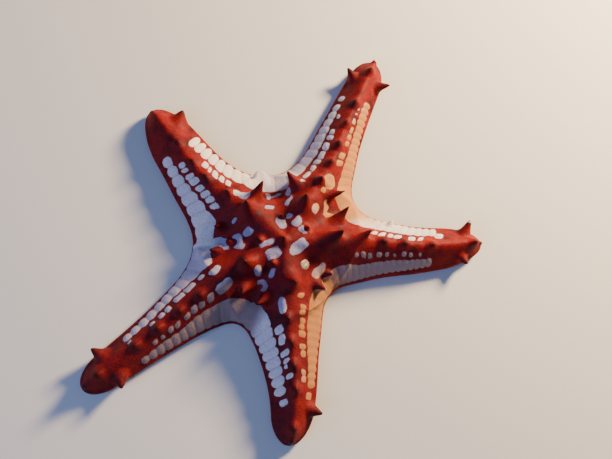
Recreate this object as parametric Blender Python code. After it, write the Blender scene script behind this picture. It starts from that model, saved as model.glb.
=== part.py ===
"""A red-knobbed sea star, life size, resting flat on the floor.

Metres, +Z up. The origin is on the floor under the middle of the animal's own box. Sizes are in
millimetres until a mesh is made. A place on an arm is given by its run, the distance from the mouth
along the arm, and by its side, +1 for the left one and -1 for the right one, looking outward.
"""

import math
from bisect import bisect_right
from dataclasses import dataclass
from functools import lru_cache

import bmesh
import bpy
from mathutils import Vector

MM = 0.001
SEAM = 0.3
MOUTH = (-7.4, -8.1)

DISC_HEIGHT = 26.0
DISC_RUN = 46.0
SPLIT_RUN = 72.0

RIDGE_SHARES = (0.0, 0.2, 0.4, 0.6, 0.8, 1.0)
RIDGE_HEIGHTS = (26.0, 25.0, 20.5, 17.0, 14.5, 12.0)
MARGIN_TOP = 6.0
MARGIN_MIDDLE = 3.2
MARGIN_FOOT = 1.0
TOP_INSET = 1.7
FOOT_INSET = 1.8
END_ROUND = 12.0
CREST_ROUND = 0.5

CURVED_RUN = 34.0
WEB_RUN = 40.0
JOIN_RUN = 68.0
WIDEST = 60.0
BEND_RUNS = (0.0, 30.0, 55.0, 80.0)
WIDTH_RUN = 50.0

GROOVE_ROOF = 3.6
GROOVE_FALL = 0.5
GROOVE_EDGE = 4.0
GROOVE_LIP = 4.9
FLAT_EDGE = 7.0
JAW_RADIUS = 9.5
THROAT_RADIUS = 6.5
THROAT_ROOF = 3.2
MOUTH_ROOF = 4.6
JAW_HEIGHTS = (3.6, 3.1, 0.3, 0.3, 0.5, 0.5)

TOP_STEPS = (0.0, 0.16, 0.36, 0.58, 0.8, 1.0)
STEPS = len(TOP_STEPS) - 1
TOP_RINGS = (6.0, 13.0, 20.0, 27.0, 34.0)
UNDER_RINGS = (15.5, 24.0, 32.0)
STATION_STEP = 5.5
END_ANGLES = (22.0, 43.0, 61.0, 77.0)

FOOT_STEP = 5.6
FOOT_START = 16.0
FOOT_ASIDE = 1.95
FOOT_STALK = 0.9
SUCKER_RADIUS = 1.5
SUCKER_RIM = 0.5
FOOT_SIDES = 6
SUNK = 1.2
LAST_FOOT = 9.0

SIEVE_LINE = 1
SIEVE_HEADING = -46.6
SIEVE_RUN = 16.0
SIEVE_RADIUS = 3.0
SIEVE_DEPTH = 0.9
SIEVE_CROWN = 0.9
SIEVE_SIDES = 20
CUTTER_TOP = 4.0

SPINE_SUNK = 2.0
SPINE_FLANK = 0.34
SPINE_WAIST = 0.62
SPINE_TIP = 0.2
BIG_SPINE = 5.0
VARY = (0.85, 0.35, 0.61)

KNOB_HEIGHT = 2.3
KNOB_RADIUS = 3.8
KNOB_TIP = 0.45
KNOB_LEAN = 0.25
END_SPINE_SHARE = 0.86
END_SPINE_WAY = (0.4, 0.85, 0.5)
END_SPINE_SUNK = 1.5
END_SPINE_TIP = 0.3


@dataclass(frozen=True)
class Arm:
    """One arm: where it points, how long and wide it is, how it bends, and what stands on it.

    A knob on the crest is given by its run, a spine of the margin near the end by its side, run,
    length and root radius.
    """

    name: str
    heading: float
    length: float
    half_width: float
    taper: float
    end: float
    bends: tuple
    knobs: tuple
    end_spines: tuple

    def out(self):
        """Unit vector outward along the arm, in plan."""
        return polar_point(1.0, self.heading)

    def left(self):
        """Unit vector to the arm's left, in plan."""
        return polar_point(1.0, self.heading + 90.0)

    def bend(self, run):
        """How far the ridge lies to the left of the straight line from the mouth."""
        return smooth_curve(run, BEND_RUNS + (self.length,), (0.0,) + self.bends)

    def width(self, run):
        """Half the arm's width, without the fillets between arms."""
        if run < WIDTH_RUN:
            wide = self.half_width * (1 + self.taper * (WIDTH_RUN - run) / WIDTH_RUN)
        else:
            wide = self.half_width * (WIDTH_RUN / run) ** self.taper
        past = max((run - (self.length - self.end)) / self.end, 0.0)
        return wide * math.sqrt(max(1 - past ** 2, 0.0)) - max(past - 1, 0.0) * self.end

    def point(self, run, aside):
        """The plan point at a run and a distance to the left of the straight line."""
        return self.out() * run + self.left() * aside

    def ridge(self, run):
        """The plan point of the crest at a run."""
        return self.point(run, self.bend(run))

    def field(self, spot):
        """Sideways distance outside the arm's edge, less than 0 inside."""
        run = spot.dot(self.out())
        return abs(spot.dot(self.left()) - self.bend(run)) - self.width(run)

    def ridge_height(self, run):
        """Height of the crest over the floor."""
        return smooth_curve(run / self.length, RIDGE_SHARES, RIDGE_HEIGHTS)

    def end_squash(self, run):
        """1 along the arm, falling to 0 at its rounded end."""
        past = min(max((run - (self.length - END_ROUND)) / END_ROUND, 0.0), 1.0)
        return math.sqrt(1 - past ** 2)


@dataclass(frozen=True)
class Interradius:
    """The line between two arms, and how softly their edges run together there."""

    heading: float
    blend: float

    def point(self, radius):
        """The plan point on the line at a radius from the mouth."""
        return polar_point(radius, self.heading)


def polar_point(radius, heading):
    """The plan point at a radius and a heading in degrees."""
    turn = math.radians(heading)
    return Vector((math.cos(turn), math.sin(turn))) * radius


def smooth_curve(at, knots, values):
    """A smooth curve through a few values, flat beyond its ends."""
    last = len(knots) - 1
    k = min(max(bisect_right(knots, at) - 1, 0), last - 1)
    step = knots[k + 1] - knots[k]
    t = min(max((at - knots[k]) / step, 0.0), 1.0)
    slopes = []
    for here in (k, k + 1):
        before, after = max(here - 1, 0), min(here + 1, last)
        slopes.append((values[after] - values[before]) / (knots[after] - knots[before]))
    rise = (2 * t ** 3 - 3 * t ** 2 + 1) * values[k] + (3 * t ** 2 - 2 * t ** 3) * values[k + 1]
    return rise + step * ((t ** 3 - 2 * t ** 2 + t) * slopes[0] + (t ** 3 - t ** 2) * slopes[1])


def crest_fall(share):
    """How far an arm's side has fallen from its rounded crest, 0 there and 1 at the margin."""
    return (1 + CREST_ROUND) * share ** 2 / (CREST_ROUND + share)


def vary(place):
    """A steady factor near 1 that differs from place to place."""
    low, more, beat = VARY
    return low + more * (place * beat % 1.0)


def ease(low, high, value):
    """0 below low, 1 above high, smooth between."""
    t = min(max((value - low) / (high - low), 0.0), 1.0)
    return t * t * (3 - 2 * t)


RED = (0.36, 0.035, 0.02)
PALE = (0.55, 0.45, 0.42)

# Clockwise from the arm at the upper right, seen from above
ARMS = (
    Arm("arm_a", 64.9, 133.3, 17.6, 0.58, 17.4, (-1.3, -3.1, -1.2, 0.3),
        (54.0, 67.0, 82.0, 97.0, 122.0), ((1, 116.0, 6.8, 3.2), (-1, 117.5, 8.2, 3.0))),
    Arm("arm_b", 3.4, 118.2, 18.7, 0.68, 25.0, (1.2, 0.1, -1.4, 1.1),
        (55.0, 67.5, 84.0, 111.0), ((1, 107.0, 9.4, 3.4), (-1, 104.0, 5.4, 3.2), (1, 62.0, 3.8, 2.2))),
    Arm("arm_c", -85.8, 105.3, 18.7, 0.82, 16.4, (-2.0, 0.4, 1.3, -1.8),
        (53.0, 65.0, 77.0, 97.0), ((1, 87.5, 7.4, 3.6),)),
    Arm("arm_d", -143.3, 127.8, 17.9, 0.74, 14.3, (-1.2, -2.3, -1.0, 0.9),
        (53.0, 66.0, 80.0, 94.0, 117.0), ((-1, 110.0, 7.4, 3.8), (1, 108.5, 7.2, 3.8))),
    Arm("arm_e", 135.6, 110.0, 20.5, 0.61, 25.8, (1.4, 4.7, 1.5, -3.1),
        (56.0, 67.5, 82.0), ((-1, 93.5, 6.6, 4.6),)),
)
INTERRADII = (
    Interradius(33.6, 22.5),
    Interradius(-37.8, 9.8),
    Interradius(-119.0, 11.3),
    Interradius(179.4, 30.0),
    Interradius(99.2, 22.6),
)


def turn_towards(heading, other):
    """The other heading, within half a turn of the first."""
    return heading + (other - heading + 180.0) % 360.0 - 180.0


def bisect(inside, outside, level, field):
    """The point between two where a field reaches a level."""
    for _ in range(24):
        middle = (inside + outside) / 2
        if field(middle) < level:
            inside = middle
        else:
            outside = middle
    return (inside + outside) / 2


class Side:
    """One side of one arm, out to its margin or to the line it shares with the next arm."""

    def __init__(self, index, side):
        """Finds the neighbour and the line between the two arms."""
        other = (index - side) % len(ARMS)
        self.arm = ARMS[index]
        self.side = side
        self.neighbour = ARMS[other]
        self.line = INTERRADII[other if side > 0 else index]
        self.line_turn = abs(turn_towards(self.arm.heading, self.line.heading) - self.arm.heading)

    def field(self, spot):
        """Sideways distance outside the body, with the fillet between the two arms."""
        a, b = self.arm.field(spot), self.neighbour.field(spot)
        near = max(self.line.blend - abs(a - b), 0) / self.line.blend
        return min(a, b) - near ** 2 * self.line.blend / 4

    @lru_cache(maxsize=None)
    def notch(self, inset):
        """Radius at which the line between the arms reaches the margin, less an inset."""
        spot = bisect(self.line.point(CURVED_RUN), self.line.point(WIDEST), -inset, self.field)
        return spot.length

    @lru_cache(maxsize=None)
    def limit(self, run, inset):
        """The outermost plan point of the side at a run: on the shared line, then on the margin."""
        notch = self.notch(inset)
        if run <= WEB_RUN:
            past = max(run - CURVED_RUN, 0.0) / (WEB_RUN - CURVED_RUN)
            return self.line.point(min(run, CURVED_RUN) + (notch - CURVED_RUN) * past)
        first = notch * math.cos(math.radians(self.line_turn))
        along = run
        if run < JOIN_RUN:
            along = first + (JOIN_RUN - first) * (run - WEB_RUN) / (JOIN_RUN - WEB_RUN)
        inset = min(inset, 0.35 * self.arm.width(along))
        reach = min(along * math.tan(math.radians(self.line_turn)), WIDEST) * self.side
        return bisect(self.arm.ridge(along), self.arm.point(along, reach), -inset, self.field)

    def across(self, run, share, inset):
        """The plan point a share of the way from the ridge to the limit."""
        start, stop = self.arm.ridge(run), self.limit(run, inset)
        first = math.degrees(math.atan2(start.y, start.x))
        last = turn_towards(first, math.degrees(math.atan2(stop.y, stop.x)))
        radius = start.length * (1 - share) + stop.length * share
        curved = polar_point(radius, first + (last - first) * share)
        return curved.lerp(start.lerp(stop, share), ease(CURVED_RUN, JOIN_RUN, run))

    def valley(self, run):
        """Height at the limit of the upper side: the valley between arms, then the margin's top."""
        if run >= WEB_RUN:
            return MARGIN_TOP
        radius = self.limit(run, TOP_INSET).length
        fall = min(radius / self.notch(TOP_INSET), 1.0)
        return MARGIN_TOP + (DISC_HEIGHT - MARGIN_TOP) * (1 - fall ** 1.6)

    def top(self, run, share):
        """A point of the upper side."""
        x, y = self.across(run, share, TOP_INSET)
        crest = self.arm.ridge_height(run)
        web = (1 + math.cos(math.pi * share)) / 2
        arm = 1 - crest_fall(share)
        how = ease(CURVED_RUN, JOIN_RUN, run)
        low = self.valley(run)
        height = low + (crest - low) * (web * (1 - how) + arm * how)
        return self.placed(run, x, y, height)

    def wall(self, run):
        """The outermost point of the side, half way up its rounded edge."""
        x, y = self.limit(run, 0.0)
        return self.placed(run, x, y, MARGIN_MIDDLE)

    def reach(self, run):
        """Distance from the middle of the groove to the foot of the margin."""
        return (self.limit(run, FOOT_INSET) - self.arm.ridge(run)).length

    def under_shares(self, run):
        """How far across the underside its lines lie: groove, lip, flat, slope and foot."""
        reach = self.reach(run)
        shrink = min(1.0, 0.8 * reach / FLAT_EDGE)
        shares = [0.0] + [edge * shrink / reach for edge in (GROOVE_EDGE, GROOVE_LIP, FLAT_EDGE)]
        return shares + [(shares[-1] + 1) / 2, 1.0]

    def under(self, run, step):
        """A point of the underside."""
        heights = (GROOVE_ROOF, GROOVE_ROOF - GROOVE_FALL, 0.0, 0.0, MARGIN_FOOT / 2, MARGIN_FOOT)
        x, y = self.across(run, self.under_shares(run)[step], FOOT_INSET)
        return self.placed(run, x, y, heights[step])

    def placed(self, run, x, y, height):
        """A point in the part's own frame, drawn in to the middle of the margin at the arm's end."""
        height = MARGIN_MIDDLE + (height - MARGIN_MIDDLE) * self.arm.end_squash(run)
        return Vector(((x + MOUTH[0]), (y + MOUTH[1]), height)) * MM


def spread(start, stop, step):
    """Evenly spaced values from start to stop, about a step apart."""
    count = max(round((stop - start) / step), 1)
    return [start + (stop - start) * k / count for k in range(count + 1)]


def sides_of(index):
    """The left and the right side of an arm."""
    return Side(index, 1), Side(index, -1)


def paint(name, colour, roughness):
    """A plain Principled material."""
    material = bpy.data.materials.new(name)
    material.use_nodes = True
    shader = material.node_tree.nodes["Principled BSDF"]
    shader.inputs["Base Color"].default_value = (*colour, 1.0)
    shader.inputs["Roughness"].default_value = roughness
    shader.inputs["Metallic"].default_value = 0.0
    return material


def add_object(name, bm, material):
    """Turns a bmesh into a smooth-shaded object with its outward normals."""
    bmesh.ops.recalc_face_normals(bm, faces=bm.faces)
    mesh = bpy.data.meshes.new(name)
    bm.to_mesh(mesh)
    bm.free()
    mesh.materials.append(material)
    mesh.shade_smooth()
    mesh.set_sharp_from_angle(angle=math.radians(50))
    body = bpy.data.objects.new(name, mesh)
    bpy.context.collection.objects.link(body)
    return body


def arm_loop(left, right, run):
    """One closed cross-section: over the top to the left, then back underneath."""
    points = [left.top(run, share) for share in TOP_STEPS] + [left.wall(run)]
    points += [left.under(run, step) for step in range(STEPS, -1, -1)]
    points += [right.under(run, step) for step in range(1, STEPS + 1)] + [right.wall(run)]
    points += [right.top(run, share) for share in reversed(TOP_STEPS[1:])]
    return points


def skin_between(bm, first, second):
    """Joins two cross-sections with a band of faces."""
    count = len(first)
    for k in range(count):
        after = (k + 1) % count
        bm.faces.new((first[k], first[after], second[after], second[k]))


def cap_section(bm, loop):
    """Closes a cross-section with a ladder from its upper to its lower points."""
    count = len(loop)
    wall = STEPS + 1
    for side in (1, -1):
        top = [loop[(side * k) % count] for k in range(wall)]
        edge = loop[(side * wall) % count]
        under = [loop[(count // 2 - side * k) % count] for k in range(wall)]
        for k in range(STEPS - 1):
            bm.faces.new((top[k], top[k + 1], under[k + 1], under[k]))
        bm.faces.new((top[STEPS - 1], top[STEPS], edge))
        bm.faces.new((top[STEPS - 1], edge, under[STEPS - 1]))
        bm.faces.new((edge, under[STEPS], under[STEPS - 1]))


def arm_length(index, runs, closed_end, name, material):
    """One length of an arm, between its first and last run."""
    left, right = sides_of(index)
    bm = bmesh.new()
    loops = [[bm.verts.new(point) for point in arm_loop(left, right, run)] for run in runs]
    for first, second in zip(loops, loops[1:]):
        skin_between(bm, first, second)
    cap_section(bm, loops[0])
    if closed_end:
        cap_section(bm, loops[-1])
    else:
        arm = ARMS[index]
        x, y = arm.ridge(arm.length)
        fan(bm, loops[-1], bm.verts.new(left.placed(arm.length, x, y, MARGIN_MIDDLE)))
    return add_object(name, bm, material)


def fan(bm, loop, middle):
    """Closes a loop with triangles to one point."""
    for k in range(len(loop)):
        bm.faces.new((loop[k], loop[(k + 1) % len(loop)], middle))


def inner_runs():
    """Where the cross-sections of an arm's inner length lie."""
    return spread(DISC_RUN + SEAM, SPLIT_RUN, STATION_STEP)


def outer_runs(arm):
    """Where the cross-sections of an arm's outer length lie, closer together round its end."""
    base = arm.length - arm.end
    ends = [base + arm.end * math.sin(math.radians(turn)) for turn in END_ANGLES]
    return spread(SPLIT_RUN + SEAM, base, STATION_STEP) + ends


def ring_sides(sides):
    """Each side of each arm in turn, anticlockwise, with its steps round a ring."""
    for left, right in reversed(sides):
        for step in range(STEPS, 0, -1):
            yield right, step
        for step in range(STEPS):
            yield left, step


def mouth_ring(bm, sides, radius, heights):
    """A ring round the mouth, with its own height for each step away from an arm's middle."""
    ring = []
    for side, step in ring_sides(sides):
        point = side.under(radius, step)
        point.z = heights[step] * MM
        ring.append(bm.verts.new(point))
    return ring


def ring_loop(upper, lower, notches, turn):
    """The cross-section of one arm where its ring of faces meets the notches on both sides."""
    count = len(upper)
    ridge = turn * 2 * STEPS + STEPS
    left = [(ridge + k) % count for k in range(STEPS + 1)]
    right = [(ridge - k) % count for k in range(STEPS + 1)]
    loop = [upper[k] for k in left] + [notches[(turn + 1) % len(notches)]]
    loop += [lower[k] for k in reversed(left)] + [lower[k] for k in right[1:]]
    return loop + [notches[turn]] + [upper[k] for k in reversed(right[1:])]


def build_disc(material):
    """The central disc out to the arms, with the mouth and the starts of the grooves below."""
    bm = bmesh.new()
    sides = [sides_of(index) for index in range(len(ARMS))]
    upper = [[bm.verts.new(side.top(run, TOP_STEPS[step])) for side, step in ring_sides(sides)]
             for run in TOP_RINGS + (WEB_RUN,)]
    lower = [mouth_ring(bm, sides, THROAT_RADIUS, (THROAT_ROOF,) * (STEPS + 1)),
             mouth_ring(bm, sides, JAW_RADIUS, JAW_HEIGHTS)]
    lower += [[bm.verts.new(side.under(run, step)) for side, step in ring_sides(sides)]
              for run in UNDER_RINGS + (WEB_RUN,)]
    for rings, roof in ((upper, DISC_HEIGHT), (lower, MOUTH_ROOF)):
        for first, second in zip(rings, rings[1:]):
            skin_between(bm, first, second)
        fan(bm, rings[0], bm.verts.new(Vector((MOUTH[0], MOUTH[1], roof)) * MM))
    notches = [bm.verts.new(right.wall(WEB_RUN)) for left, right in reversed(sides)]
    for turn, (left, right) in enumerate(reversed(sides)):
        inside = ring_loop(upper[-1], lower[-1], notches, turn)
        edge = [bm.verts.new(point) for point in arm_loop(left, right, DISC_RUN)]
        skin_between(bm, inside, edge)
        cap_section(bm, edge)
    return add_object("disc", bm, material)


@dataclass(frozen=True)
class Spine:
    """One spine or knob: root, direction, length, root radius, and its tip's share of that radius."""

    root: Vector
    way: Vector
    length: float
    radius: float
    tip: float = SPINE_TIP

    def mesh(self, bm):
        """A blunt cone with a flared foot, sunk into what it grows from."""
        sides = 8 if self.radius > BIG_SPINE else 6
        waist = max(SPINE_WAIST, self.tip + (1 - self.tip) / 2)
        profile = ((-SPINE_SUNK, self.radius),
                   (self.length * SPINE_FLANK, self.radius * waist),
                   (self.length, self.radius * self.tip))
        turned(bm, self.root, self.way, profile, sides)


def sucker(bm, spot, shrink):
    """One tube foot: a stalk out of the groove that flares to a flat sucker on the floor."""
    rings = ((GROOVE_ROOF + SUNK, FOOT_STALK), (SUCKER_RIM, SUCKER_RADIUS), (0.0, SUCKER_RADIUS))
    loops = []
    for height, radius in rings:
        loop = []
        for k in range(FOOT_SIDES):
            rim = spot + polar_point(radius * shrink, 360.0 * k / FOOT_SIDES)
            loop.append(bm.verts.new(Vector((rim.x + MOUTH[0], rim.y + MOUTH[1], height)) * MM))
        loops.append(loop)
    for first, second in zip(loops, loops[1:]):
        skin_between(bm, first, second)
    bm.faces.new(loops[0])
    bm.faces.new(loops[-1])


def on_skin(side, run, share):
    """A point of the upper side and its outward direction, in millimetres."""
    step = 0.5
    here = side.top(run, share) / MM
    ahead = side.top(run + step, share) / MM - here
    aside = side.top(run, max(share - 0.05, 0.0)) / MM - side.top(run, share + 0.05) / MM
    normal = ahead.cross(aside).normalized()
    return here, normal if normal.z > 0 else -normal


def on_disc(heading, radius):
    """The point of the upper side over a plan place near the disc, and its outward direction."""
    spot = polar_point(radius, heading)
    places = [(side, run, share) for index in range(len(ARMS)) for side in sides_of(index)
              for share in spread(0.0, 1.0, 0.05) for run in spread(radius - 3, radius + 3, 0.5)]
    return on_skin(*min(places, key=lambda place: (on_plan(*place) - spot).length))


def on_plan(side, run, share):
    """The plan point under a place on the upper side."""
    return side.across(run, share, TOP_INSET)


def plan_spine(heading, radius, offset, root_radius, tip=SPINE_TIP):
    """A spine of the disc, by the heading and radius of its root and the offset of its tip."""
    way = Vector(offset)
    return Spine(on_disc(heading, radius)[0], way.normalized(), way.length, root_radius, tip)


def turned(bm, centre, way, profile, sides):
    """A closed turned shape round a direction, from heights and radii."""
    turn = Vector((0, 0, 1)).rotation_difference(way).to_matrix()
    loops = []
    for height, radius in profile:
        rim = [polar_point(radius, 360.0 * (k + 0.5) / sides) for k in range(sides)]
        loops.append([bm.verts.new((centre + turn @ Vector((spot.x, spot.y, height))) * MM)
                      for spot in rim])
    for first, second in zip(loops, loops[1:]):
        skin_between(bm, first, second)
    bm.faces.new(loops[0])
    bm.faces.new(loops[-1])


def build_madreporite(disc, material):
    """The sieve plate: a low crowned button, set in a flat socket cut in the disc."""
    centre, way = on_disc(SIEVE_HEADING, SIEVE_RUN)
    bm = bmesh.new()
    wide = SIEVE_RADIUS + SEAM
    turned(bm, centre, way, ((-SIEVE_DEPTH, wide), (CUTTER_TOP, wide)), SIEVE_SIDES)
    cutter = add_object("socket_cutter", bm, material)
    apply_boolean(disc, "DIFFERENCE", cutter)
    bpy.data.objects.remove(cutter)
    keep_largest(disc)
    bm = bmesh.new()
    profile = ((SEAM - SIEVE_DEPTH, SIEVE_RADIUS), (SIEVE_CROWN * 0.3, SIEVE_RADIUS),
               (SIEVE_CROWN * 0.8, SIEVE_RADIUS * 0.75), (SIEVE_CROWN, SIEVE_RADIUS * 0.35))
    turned(bm, centre, way, profile, SIEVE_SIDES)
    return add_object("madreporite", bm, material)


# Heading and radius of the root, offset of the tip, radius of the root: the centre, the big
# first knob of each arm, the spines on each side of the lines between arms, the second knobs,
# then a low knob and a rounded lobe near the edge, which also have their tip's share of the radius
DISC_SPINES = (
    (195.0, 2.0, (0.4, 1.2, 4.4), 4.2),
    (66.0, 23.0, (0.6, 3.0, 8.4), 6.2),
    (3.8, 24.5, (5.8, 3.6, 7.2), 6.0),
    (-81.0, 22.0, (1.0, -2.0, 8.0), 6.0),
    (-148.0, 23.5, (-2.6, -1.0, 8.2), 6.2),
    (143.0, 26.0, (-1.6, 3.2, 8.4), 6.2),
    (49.3, 38.0, (8.6, 1.5, 5.0), 3.4),
    (26.4, 32.0, (6.6, 7.4, 7.0), 4.8),
    (-33.1, 27.0, (3.4, -0.6, 4.0), 3.2),
    (-48.5, 27.0, (4.4, -4.0, 5.0), 3.8),
    (-105.6, 31.0, (-6.8, -4.4, 4.4), 4.4),
    (-130.0, 31.0, (-2.6, -5.0, 4.0), 3.6),
    (-173.4, 34.0, (-6.2, -0.6, 4.0), 3.6),
    (167.0, 34.0, (-5.0, 1.0, 4.2), 3.6),
    (124.7, 29.5, (3.8, 8.0, 8.0), 5.2),
    (78.7, 35.0, (-6.7, 4.8, 8.0), 5.0),
    (61.9, 40.5, (0.5, 1.0, 4.6), 4.0),
    (4.5, 41.0, (6.0, 4.4, 5.0), 4.4),
    (-87.2, 40.5, (0.2, -1.0, 3.6), 3.8),
    (139.7, 40.5, (-0.9, 0.8, 4.0), 4.0),
    (179.0, 29.5, (-0.8, 0.3, 2.4), 2.6, 0.4),
    (107.5, 40.0, (-1.2, 3.9, 0.7), 3.8, 0.7),
)

# Radius from the mouth, height, radius of the root
INNER_RING = (13.5, 3.2, 3.4)


def disc_spines():
    """All spines of the disc."""
    spines = [plan_spine(*row) for row in DISC_SPINES]
    radius, height, root = INNER_RING
    for number, line in enumerate(INTERRADII):
        if number != SIEVE_LINE:
            lean = polar_point(1.0, line.heading)
            offset = (lean.x, lean.y, height * vary(line.heading))
            spines.append(plan_spine(line.heading, radius, offset, root))
    return spines


def ridge_knob(index, run):
    """A low knob on the crest of an arm, leaning a little outward."""
    side = sides_of(index)[0]
    here = side.top(run, 0.0) / MM
    out = ARMS[index].out()
    way = Vector((out.x * KNOB_LEAN, out.y * KNOB_LEAN, 1.0))
    return Spine(here, way.normalized(), KNOB_HEIGHT * vary(run), KNOB_RADIUS, KNOB_TIP)


def arm_spines(index, first, last):
    """The knobs along the crest of one length of an arm, and its end spines."""
    arm = ARMS[index]
    spines = [ridge_knob(index, run) for run in arm.knobs if first < run < last]
    return spines + [end_spine(index, *row) for row in arm.end_spines if first < row[1] < last]


def end_spine(index, side, run, length, radius):
    """A spine standing out of the margin near an arm's end."""
    arm = ARMS[index]
    flank = sides_of(index)[0 if side > 0 else 1]
    here = flank.top(run, END_SPINE_SHARE) / MM
    out, aside, up = END_SPINE_WAY
    way = arm.out() * out + arm.left() * side * aside
    return Spine(here, Vector((way.x, way.y, up)).normalized(), length + END_SPINE_SUNK,
                 radius, END_SPINE_TIP)


def feet_between(index, first, last):
    """Plan places of the tube feet of one arm between two runs, with how much they shrink."""
    arm = ARMS[index]
    side = sides_of(index)[0]
    count = max(round((last - first) / FOOT_STEP), 1)
    for k in range(count):
        run = first + (last - first) * (k + 0.5) / count
        shrink = min(1.0, side.under_shares(run)[3] * side.reach(run) / FLAT_EDGE)
        for aside in (-1, 1):
            yield arm.point(run, arm.bend(run) + aside * FOOT_ASIDE * shrink), shrink


def apply_boolean(body, operation, operand):
    """Joins or cuts a node with an object or a collection of closed objects."""
    change = body.modifiers.new("change", "BOOLEAN")
    change.operation = operation
    change.solver = "EXACT"
    if isinstance(operand, bpy.types.Collection):
        change.operand_type = "COLLECTION"
        change.collection = operand
    else:
        change.object = operand
    depsgraph = bpy.context.evaluated_depsgraph_get()
    changed = bpy.data.meshes.new_from_object(body.evaluated_get(depsgraph))
    body.modifiers.clear()
    body.data = changed


def fuse(body, parts):
    """Joins closed pieces to a node by one Boolean union and keeps its largest closed surface."""
    pieces = bpy.data.collections.new(body.name + "_pieces")
    bpy.context.scene.collection.children.link(pieces)
    for part in parts:
        bm = bmesh.new()
        part(bm)
        bmesh.ops.recalc_face_normals(bm, faces=bm.faces)
        mesh = bpy.data.meshes.new(body.name + "_piece")
        bm.to_mesh(mesh)
        bm.free()
        pieces.objects.link(bpy.data.objects.new(body.name + "_piece", mesh))
    apply_boolean(body, "UNION", pieces)
    for piece in list(pieces.objects):
        bpy.data.objects.remove(piece)
    bpy.data.collections.remove(pieces)
    keep_largest(body)


def keep_largest(body):
    """Keeps the largest closed surface of a node."""
    bm = bmesh.new()
    bm.from_mesh(body.data)
    left = set(bm.verts)
    islands = []
    while left:
        island, edge = set(), [left.pop()]
        while edge:
            vert = edge.pop()
            island.add(vert)
            for link in vert.link_edges:
                other = link.other_vert(vert)
                if other in left:
                    left.remove(other)
                    edge.append(other)
        islands.append(island)
    islands.sort(key=len, reverse=True)
    for island in islands[1:]:
        bmesh.ops.delete(bm, geom=list(island), context="VERTS")
    bm.to_mesh(body.data)
    bm.free()


def spines_and_feet(spines, feet):
    """The makers of a node's fused pieces."""
    makers = [spine.mesh for spine in spines]
    return makers + [lambda bm, foot=foot: sucker(bm, *foot) for foot in feet]


def main():
    """Builds every node."""
    for old in list(bpy.data.objects):
        bpy.data.objects.remove(old)
    disc = build_disc(paint("disc_skin", PALE, 0.6))
    feet = [foot for index in range(len(ARMS)) for foot in feet_between(index, FOOT_START, DISC_RUN)]
    fuse(disc, spines_and_feet(disc_spines(), feet))
    build_madreporite(disc, paint("madreporite_stone", PALE, 0.7))
    for index, arm in enumerate(ARMS):
        material = paint(arm.name + "_skin", RED, 0.6)
        inner = arm_length(index, inner_runs(), True, arm.name + "_inner", material)
        feet = feet_between(index, DISC_RUN + SEAM, SPLIT_RUN)
        fuse(inner, spines_and_feet(arm_spines(index, DISC_RUN, SPLIT_RUN), feet))
        outer = arm_length(index, outer_runs(arm), False, arm.name + "_outer", material)
        feet = feet_between(index, SPLIT_RUN + SEAM, arm.length - LAST_FOOT)
        fuse(outer, spines_and_feet(arm_spines(index, SPLIT_RUN, arm.length), feet))


if __name__ == "__main__":
    main()
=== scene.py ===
"""Dresses the red-knobbed sea star: one skin over the solids, the underside's feet and spines, a studio.

Shapes are worked out in millimetres, with the mouth's middle as the origin, as in the solids' source, and
are turned to metres when a mesh is made. A place on an arm is given by its run, the distance from the mouth
along the arm, and by its side, +1 for the left one and -1 for the right one, looking outward.
"""

import logging
import math
from bisect import bisect_right
from dataclasses import dataclass, field
from enum import Enum
from functools import lru_cache
from typing import Callable, Iterable

import bpy
import numpy as np
from mathutils import Matrix, Vector


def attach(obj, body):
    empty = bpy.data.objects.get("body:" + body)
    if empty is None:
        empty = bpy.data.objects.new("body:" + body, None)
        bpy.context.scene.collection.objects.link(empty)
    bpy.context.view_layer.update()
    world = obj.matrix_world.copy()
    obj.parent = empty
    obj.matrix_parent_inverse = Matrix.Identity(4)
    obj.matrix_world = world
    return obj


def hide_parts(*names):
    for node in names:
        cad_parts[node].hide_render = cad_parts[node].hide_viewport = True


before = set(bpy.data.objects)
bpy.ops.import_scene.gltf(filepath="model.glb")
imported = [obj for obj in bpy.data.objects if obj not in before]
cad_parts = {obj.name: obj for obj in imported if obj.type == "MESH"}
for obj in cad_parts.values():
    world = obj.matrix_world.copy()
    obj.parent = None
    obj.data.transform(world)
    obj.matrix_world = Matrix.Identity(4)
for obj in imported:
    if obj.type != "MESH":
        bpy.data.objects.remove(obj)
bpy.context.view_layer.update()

log = logging.getLogger("sea_star")

MM = 0.001
# The mouth's middle in the part's own frame
MOUTH = np.array((-7.4, -8.1, 0.0))

# Heights over the floor: the disc, the crest at shares of an arm's length, and the margin
DISC_HEIGHT = 26.0
RIDGE_SHARES = (0.0, 0.2, 0.4, 0.6, 0.8, 1.0)
RIDGE_HEIGHTS = (26.0, 25.0, 20.5, 17.0, 14.5, 12.0)
MARGIN_TOP = 6.0
MARGIN_MIDDLE = 3.2
MARGIN_FOOT = 1.0
# How far inside the margin the upper side and the underside end, and where the arm's end rounds off
TOP_INSET = 1.7
FOOT_INSET = 1.8
END_ROUND = 12.0
# Runs up to which the disc's rings are round, to which arms share a line, and from which they are free
CURVED_RUN = 34.0
WEB_RUN = 40.0
JOIN_RUN = 68.0
# Farther out than any side reaches, and how often bisect halves the way to it
WIDEST = 60.0
HALVINGS = 22
# The runs at which an arm's bends are given, and the one of its half width
BEND_RUNS = (0.0, 30.0, 55.0, 80.0)
WIDTH_RUN = 50.0
# How rounded the crests and the floors of the valleys are
CREST_ROUND = 0.5
VALLEY_SOFT = 3.0
# How fast the valley between two arms falls, and how far an inset may take up a narrow arm
VALLEY_FALL = 1.6
NARROW_SHARE = 0.35
# The steady variation of knobs: least factor, range and beat
VARY = (0.85, 0.35, 0.61)
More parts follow.
